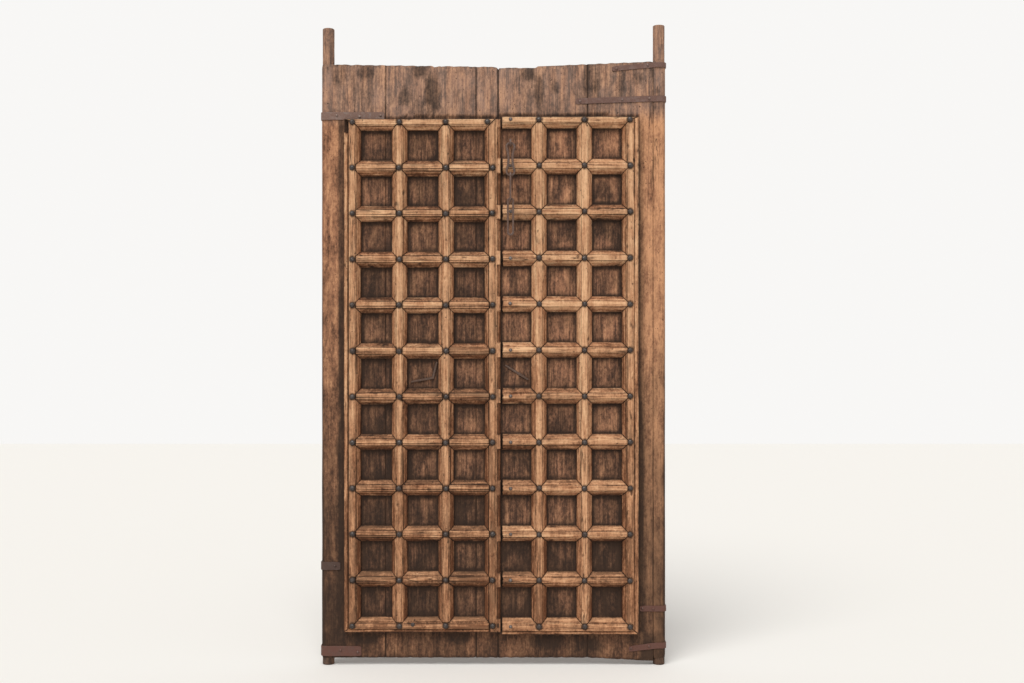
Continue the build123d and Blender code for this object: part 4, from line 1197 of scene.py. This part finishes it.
FLAT_Y = FRONT - BAR_HEIGHT
PLUG_X = -265.0
rose = Piece()
for column, x in enumerate(LEFT_BARS_X):
    for row, z in enumerate(LEFT_ROWS):
        corner = column == 3 and row == len(LEFT_ROWS) - 1
        make_nail_head(rose, CORNER_NAIL_X if corner else x, z, FLAT_Y, *ROSE_HEAD, f"left {column} {row}")
make_nail_head(rose, PLUG_X, LEFT_ROWS[0] + 5, FLAT_Y, *PLUG_HEAD, "left border plug")
rose.finish("left_rose_heads", "left_leaf", nail_iron, ["left_rose_nails"], crease=60.0)
rose = Piece()
for column, x in enumerate(RIGHT_COLUMNS + [RIGHT_OUTER_X]):
    for row, z in enumerate(RIGHT_ROWS):
        make_nail_head(rose, x, z, FLAT_Y, *ROSE_HEAD, f"right {column} {row}")
rose.finish("right_rose_heads", "right_leaf", nail_iron, ["right_rose_nails"], crease=60.0)
ends = Piece()
for row, z in enumerate(RIGHT_ROWS):
    make_nail_head(ends, END_NAIL_X, z, FLAT_Y, *END_HEAD, f"end {row}")
ends.finish("right_end_heads", "right_leaf", end_nail_iron, ["right_end_nails"], crease=60.0)


def make_strap(node, reach, edge_z, tip_z, width, material, tacks):
    """An iron strap hammered round a pivot edge: front leg, wrap and back leg, with its tacks."""
    leaf = node.split("_")[0]
    outer_x, turn = (LEFT_EDGE_X, 1) if leaf == "left" else (RIGHT_EDGE_X, -1)
    piece = Piece()
    bend = PIVOT_ROUND + STRAP_SEAT
    path = []
    for d in even_steps([PIVOT_ROUND, STRAP_FRONT_WRAP, reach], 6.0)[::-1]:
        share = clamp((d - STRAP_FRONT_WRAP) / (reach - STRAP_FRONT_WRAP))
        path.append((d, FRONT - STRAP_SEAT, 0.0, -1.0, edge_z + (tip_z - edge_z) * share))
    for corner_y, first in ((FRONT + PIVOT_ROUND, 270), (FRONT + PIVOT_DEPTH - PIVOT_ROUND, 180)):
        for n in range(1, 7) if first == 270 else range(0, 7):
            angle = math.radians(first - 15 * n)
            c, s = math.cos(angle), math.sin(angle)
            path.append((PIVOT_ROUND + bend * c, corner_y + bend * s, c, s, edge_z))
    leg_y = FRONT + PIVOT_DEPTH + STRAP_SEAT
    for n in range(1, 5):
        path.append((PIVOT_ROUND + (STRAP_BACK_LEG - PIVOT_ROUND) * n / 4, leg_y, 0.0, 1.0, edge_z))
    seed = random.Random(node).uniform(0, 90)
    half = width / 2
    side = [(half, 0.0), (half, 2.0), (half - 0.9, STRAP_THICKNESS), (half * 0.4, STRAP_THICKNESS)]
    section = [(-w, thick) for w, thick in side] + side[::-1]
    rows = []
    for n, (d, y, nx, ny, z) in enumerate(path):
        row = []
        narrow = 3.0 * clamp(1 - n / 1.5)
        for w, thick in section:
            w = clamp(w, -half + narrow, half - narrow)
            wavy = w * (0.97 + 0.05 * ripple(n * 0.4, math.copysign(3.0, w), seed))
            level_out = thick * (1 - 0.1 * abs(ripple(n * 0.5, w * 0.1, seed + 3)))
            x = outer_x + turn * (d + nx * level_out)
            dirt_and_shade = 0.5 + 0.5 * ripple(n * 0.3, w * 0.08, seed + 5)
            row.append(piece.add((x, y + ny * level_out, z + wavy), dirt_and_shade, 0.5, 0.5))
        rows.append(row)
    piece.grid(rows, closed=True)
    piece.faces.append(tuple(rows[0][::-1]))
    piece.faces.append(tuple(rows[-1]))
    for share, lift in tacks:
        d = STRAP_FRONT_WRAP + (reach - STRAP_FRONT_WRAP) * share
        z = edge_z + (tip_z - edge_z) * share + lift
        top_y = FRONT - STRAP_SEAT - STRAP_THICKNESS
        make_nail_head(piece, outer_x + turn * d, z, top_y, *TACK_HEAD, f"{node} {share}")
    piece.finish(f"{node}_hammered", f"{leaf}_leaf", material, [node])


def strap_sizes(node, drop):
    """Reach, height at the edge, height at the tip and width of a strap, from its node."""
    low, high = box_mm(node)
    reach = (high[0] - LEFT_EDGE_X) if node.startswith("left") else (RIGHT_EDGE_X - low[0])
    width = high[2] - low[2] - drop
    return reach, high[2] - width / 2, high[2] - width / 2 - drop, width


# Each strap's node, how far its tip drops, its iron, and its tacks by share of the leg and height
STRAPS = [
    ("left_top_strap", 0.0, strap_iron, [(0.12, 3.0), (0.55, -2.0), (0.93, 2.0)]),
    ("left_lower_strap", 0.0, dark_strap_iron, [(0.5, 0.0)]),
    ("left_foot_strap", 0.0, red_strap_iron, [(0.35, 2.0), (0.88, -3.0)]),
    ("right_top_strap", 14.0, rusty_iron, [(0.2, 0.0), (0.9, 0.0)]),
    ("right_second_strap", 9.0, rusty_iron, [(0.1, 0.0), (0.43, 0.0), (0.95, 0.0)]),
    ("right_lower_strap", 0.0, red_strap_iron, [(0.25, 0.0), (0.85, 0.0)]),
    ("right_foot_strap", 11.0, red_strap_iron, [(0.3, 0.0), (0.9, 0.0)]),
]
for node, drop, iron, tacks in STRAPS:
    make_strap(node, *strap_sizes(node, drop), iron, tacks)


def make_forging(node, body, material, stout=0.0):
    """A staple or chain link as the part has it, forged round, its front legs hammered stouter."""
    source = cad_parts[node]
    mesh = source.data.copy()
    mesh.name = f"{node}_forged"
    work = bmesh.new()
    work.from_mesh(mesh)
    bmesh.ops.remove_doubles(work, verts=work.verts, dist=0.00001)
    bmesh.ops.recalc_face_normals(work, faces=work.faces)
    steep = math.radians(50)
    sharp = [edge for edge in work.edges if len(edge.link_faces) == 2 and edge.calc_face_angle(0.0) > steep]
    bmesh.ops.bevel(
        work, geom=sharp, offset=0.0015, segments=3, profile=0.55, affect="EDGES", clamp_overlap=True
    )
    work.normal_update()
    low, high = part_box(node)
    for vertex in work.verts:
        ends = min(vertex.co.z - low[2], high[2] - vertex.co.z) / MM
        share = smooth((ends - 13) / 10) if node.startswith("chain_link") else 1.0
        if vertex.co.y < FRONT * MM:
            vertex.co += vertex.normal * stout * share
    for face in work.faces:
        face.smooth = True
    work.to_mesh(mesh)
    work.free()
    layer = mesh.color_attributes.new("marks", "FLOAT_COLOR", "POINT")
    for vertex, mark in zip(mesh.vertices, layer.data):
        place = vertex.co / MM
        rusty = 0.4 + 0.5 * ripple(place.x * 0.05, place.y * 0.05, place.z * 0.05)
        mark.color = (clamp(rusty), 0.5, 0.5, 1.0)
    mesh.materials.clear()
    mesh.materials.append(material)
    piece = bpy.data.objects.new(f"{node}_forged", mesh)
    bpy.context.collection.objects.link(piece)
    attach(piece, body)
    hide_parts(node)


make_forging("left_split_staple", "left_leaf", staple_iron, STAPLE_STOUT)
make_forging("right_split_staple", "right_leaf", staple_iron, STAPLE_STOUT)
make_forging("chain_staple", "right_leaf", chain_iron)
for number in (1, 2, 3):
    make_forging(f"chain_link_{number}", f"chain_link_{number}", chain_iron, LINK_STOUT)


def make_floor():
    """Plain pale floor under the leaves."""
    mesh = bpy.data.meshes.new("floor")
    mesh.from_pydata([(-9, -9, 0), (9, -9, 0), (9, 9, 0), (-9, 9, 0)], [], [(0, 1, 2, 3)])
    material = bpy.data.materials.new("pale floor")
    material.use_nodes = True
    material.node_tree.nodes["Principled BSDF"].inputs["Base Color"].default_value = srgb(240, 238, 234)
    material.node_tree.nodes["Principled BSDF"].inputs["Roughness"].default_value = 0.9
    mesh.materials.append(material)
    floor = bpy.data.objects.new("floor", mesh)
    bpy.context.collection.objects.link(floor)


def make_light():
    """Soft light all round, and a broad soft sun from above and in front."""
    world = bpy.data.worlds.new("studio")
    bpy.context.scene.world = world
    world.use_nodes = True
    tree = world.node_tree
    background = tree.nodes["Background"]
    background.inputs["Color"].default_value = (1.0, 0.99, 0.975, 1.0)
    path = tree.nodes.new("ShaderNodeLightPath")
    wire = Wiring(tree)
    seen = wire.math("MAXIMUM", path.outputs["Is Camera Ray"], path.outputs["Is Glossy Ray"])
    seen = wire.math("MAXIMUM", seen, path.outputs["Is Transmission Ray"])
    wire.put(background.inputs["Strength"], wire.span(seen, 0.0, 1.0, 0.42, 0.94))
    sun_data = bpy.data.lights.new("soft sun", "SUN")
    sun_data.energy = 2.5
    sun_data.angle = math.radians(44)
    sun_data.color = (1.0, 0.985, 0.96)
    sun = bpy.data.objects.new("soft sun", sun_data)
    sun.rotation_euler = Vector((0.18, 0.62, -0.86)).to_track_quat("-Z", "Y").to_euler()
    bpy.context.collection.objects.link(sun)


def make_camera():
    """Camera straight in front of the pair, at the photo's height and distance."""
    camera_data = bpy.data.cameras.new("camera")
    camera_data.sensor_width = 36.0
    camera_data.lens = 44.15
    camera = bpy.data.objects.new("camera", camera_data)
    camera.location = (0.061, -4.15, 1.071)
    camera.rotation_euler = (math.radians(90), 0.0, 0.0)
    bpy.context.collection.objects.link(camera)
    bpy.context.scene.camera = camera


make_floor()
make_light()
make_camera()
bpy.context.scene.view_settings.view_transform = "Standard"
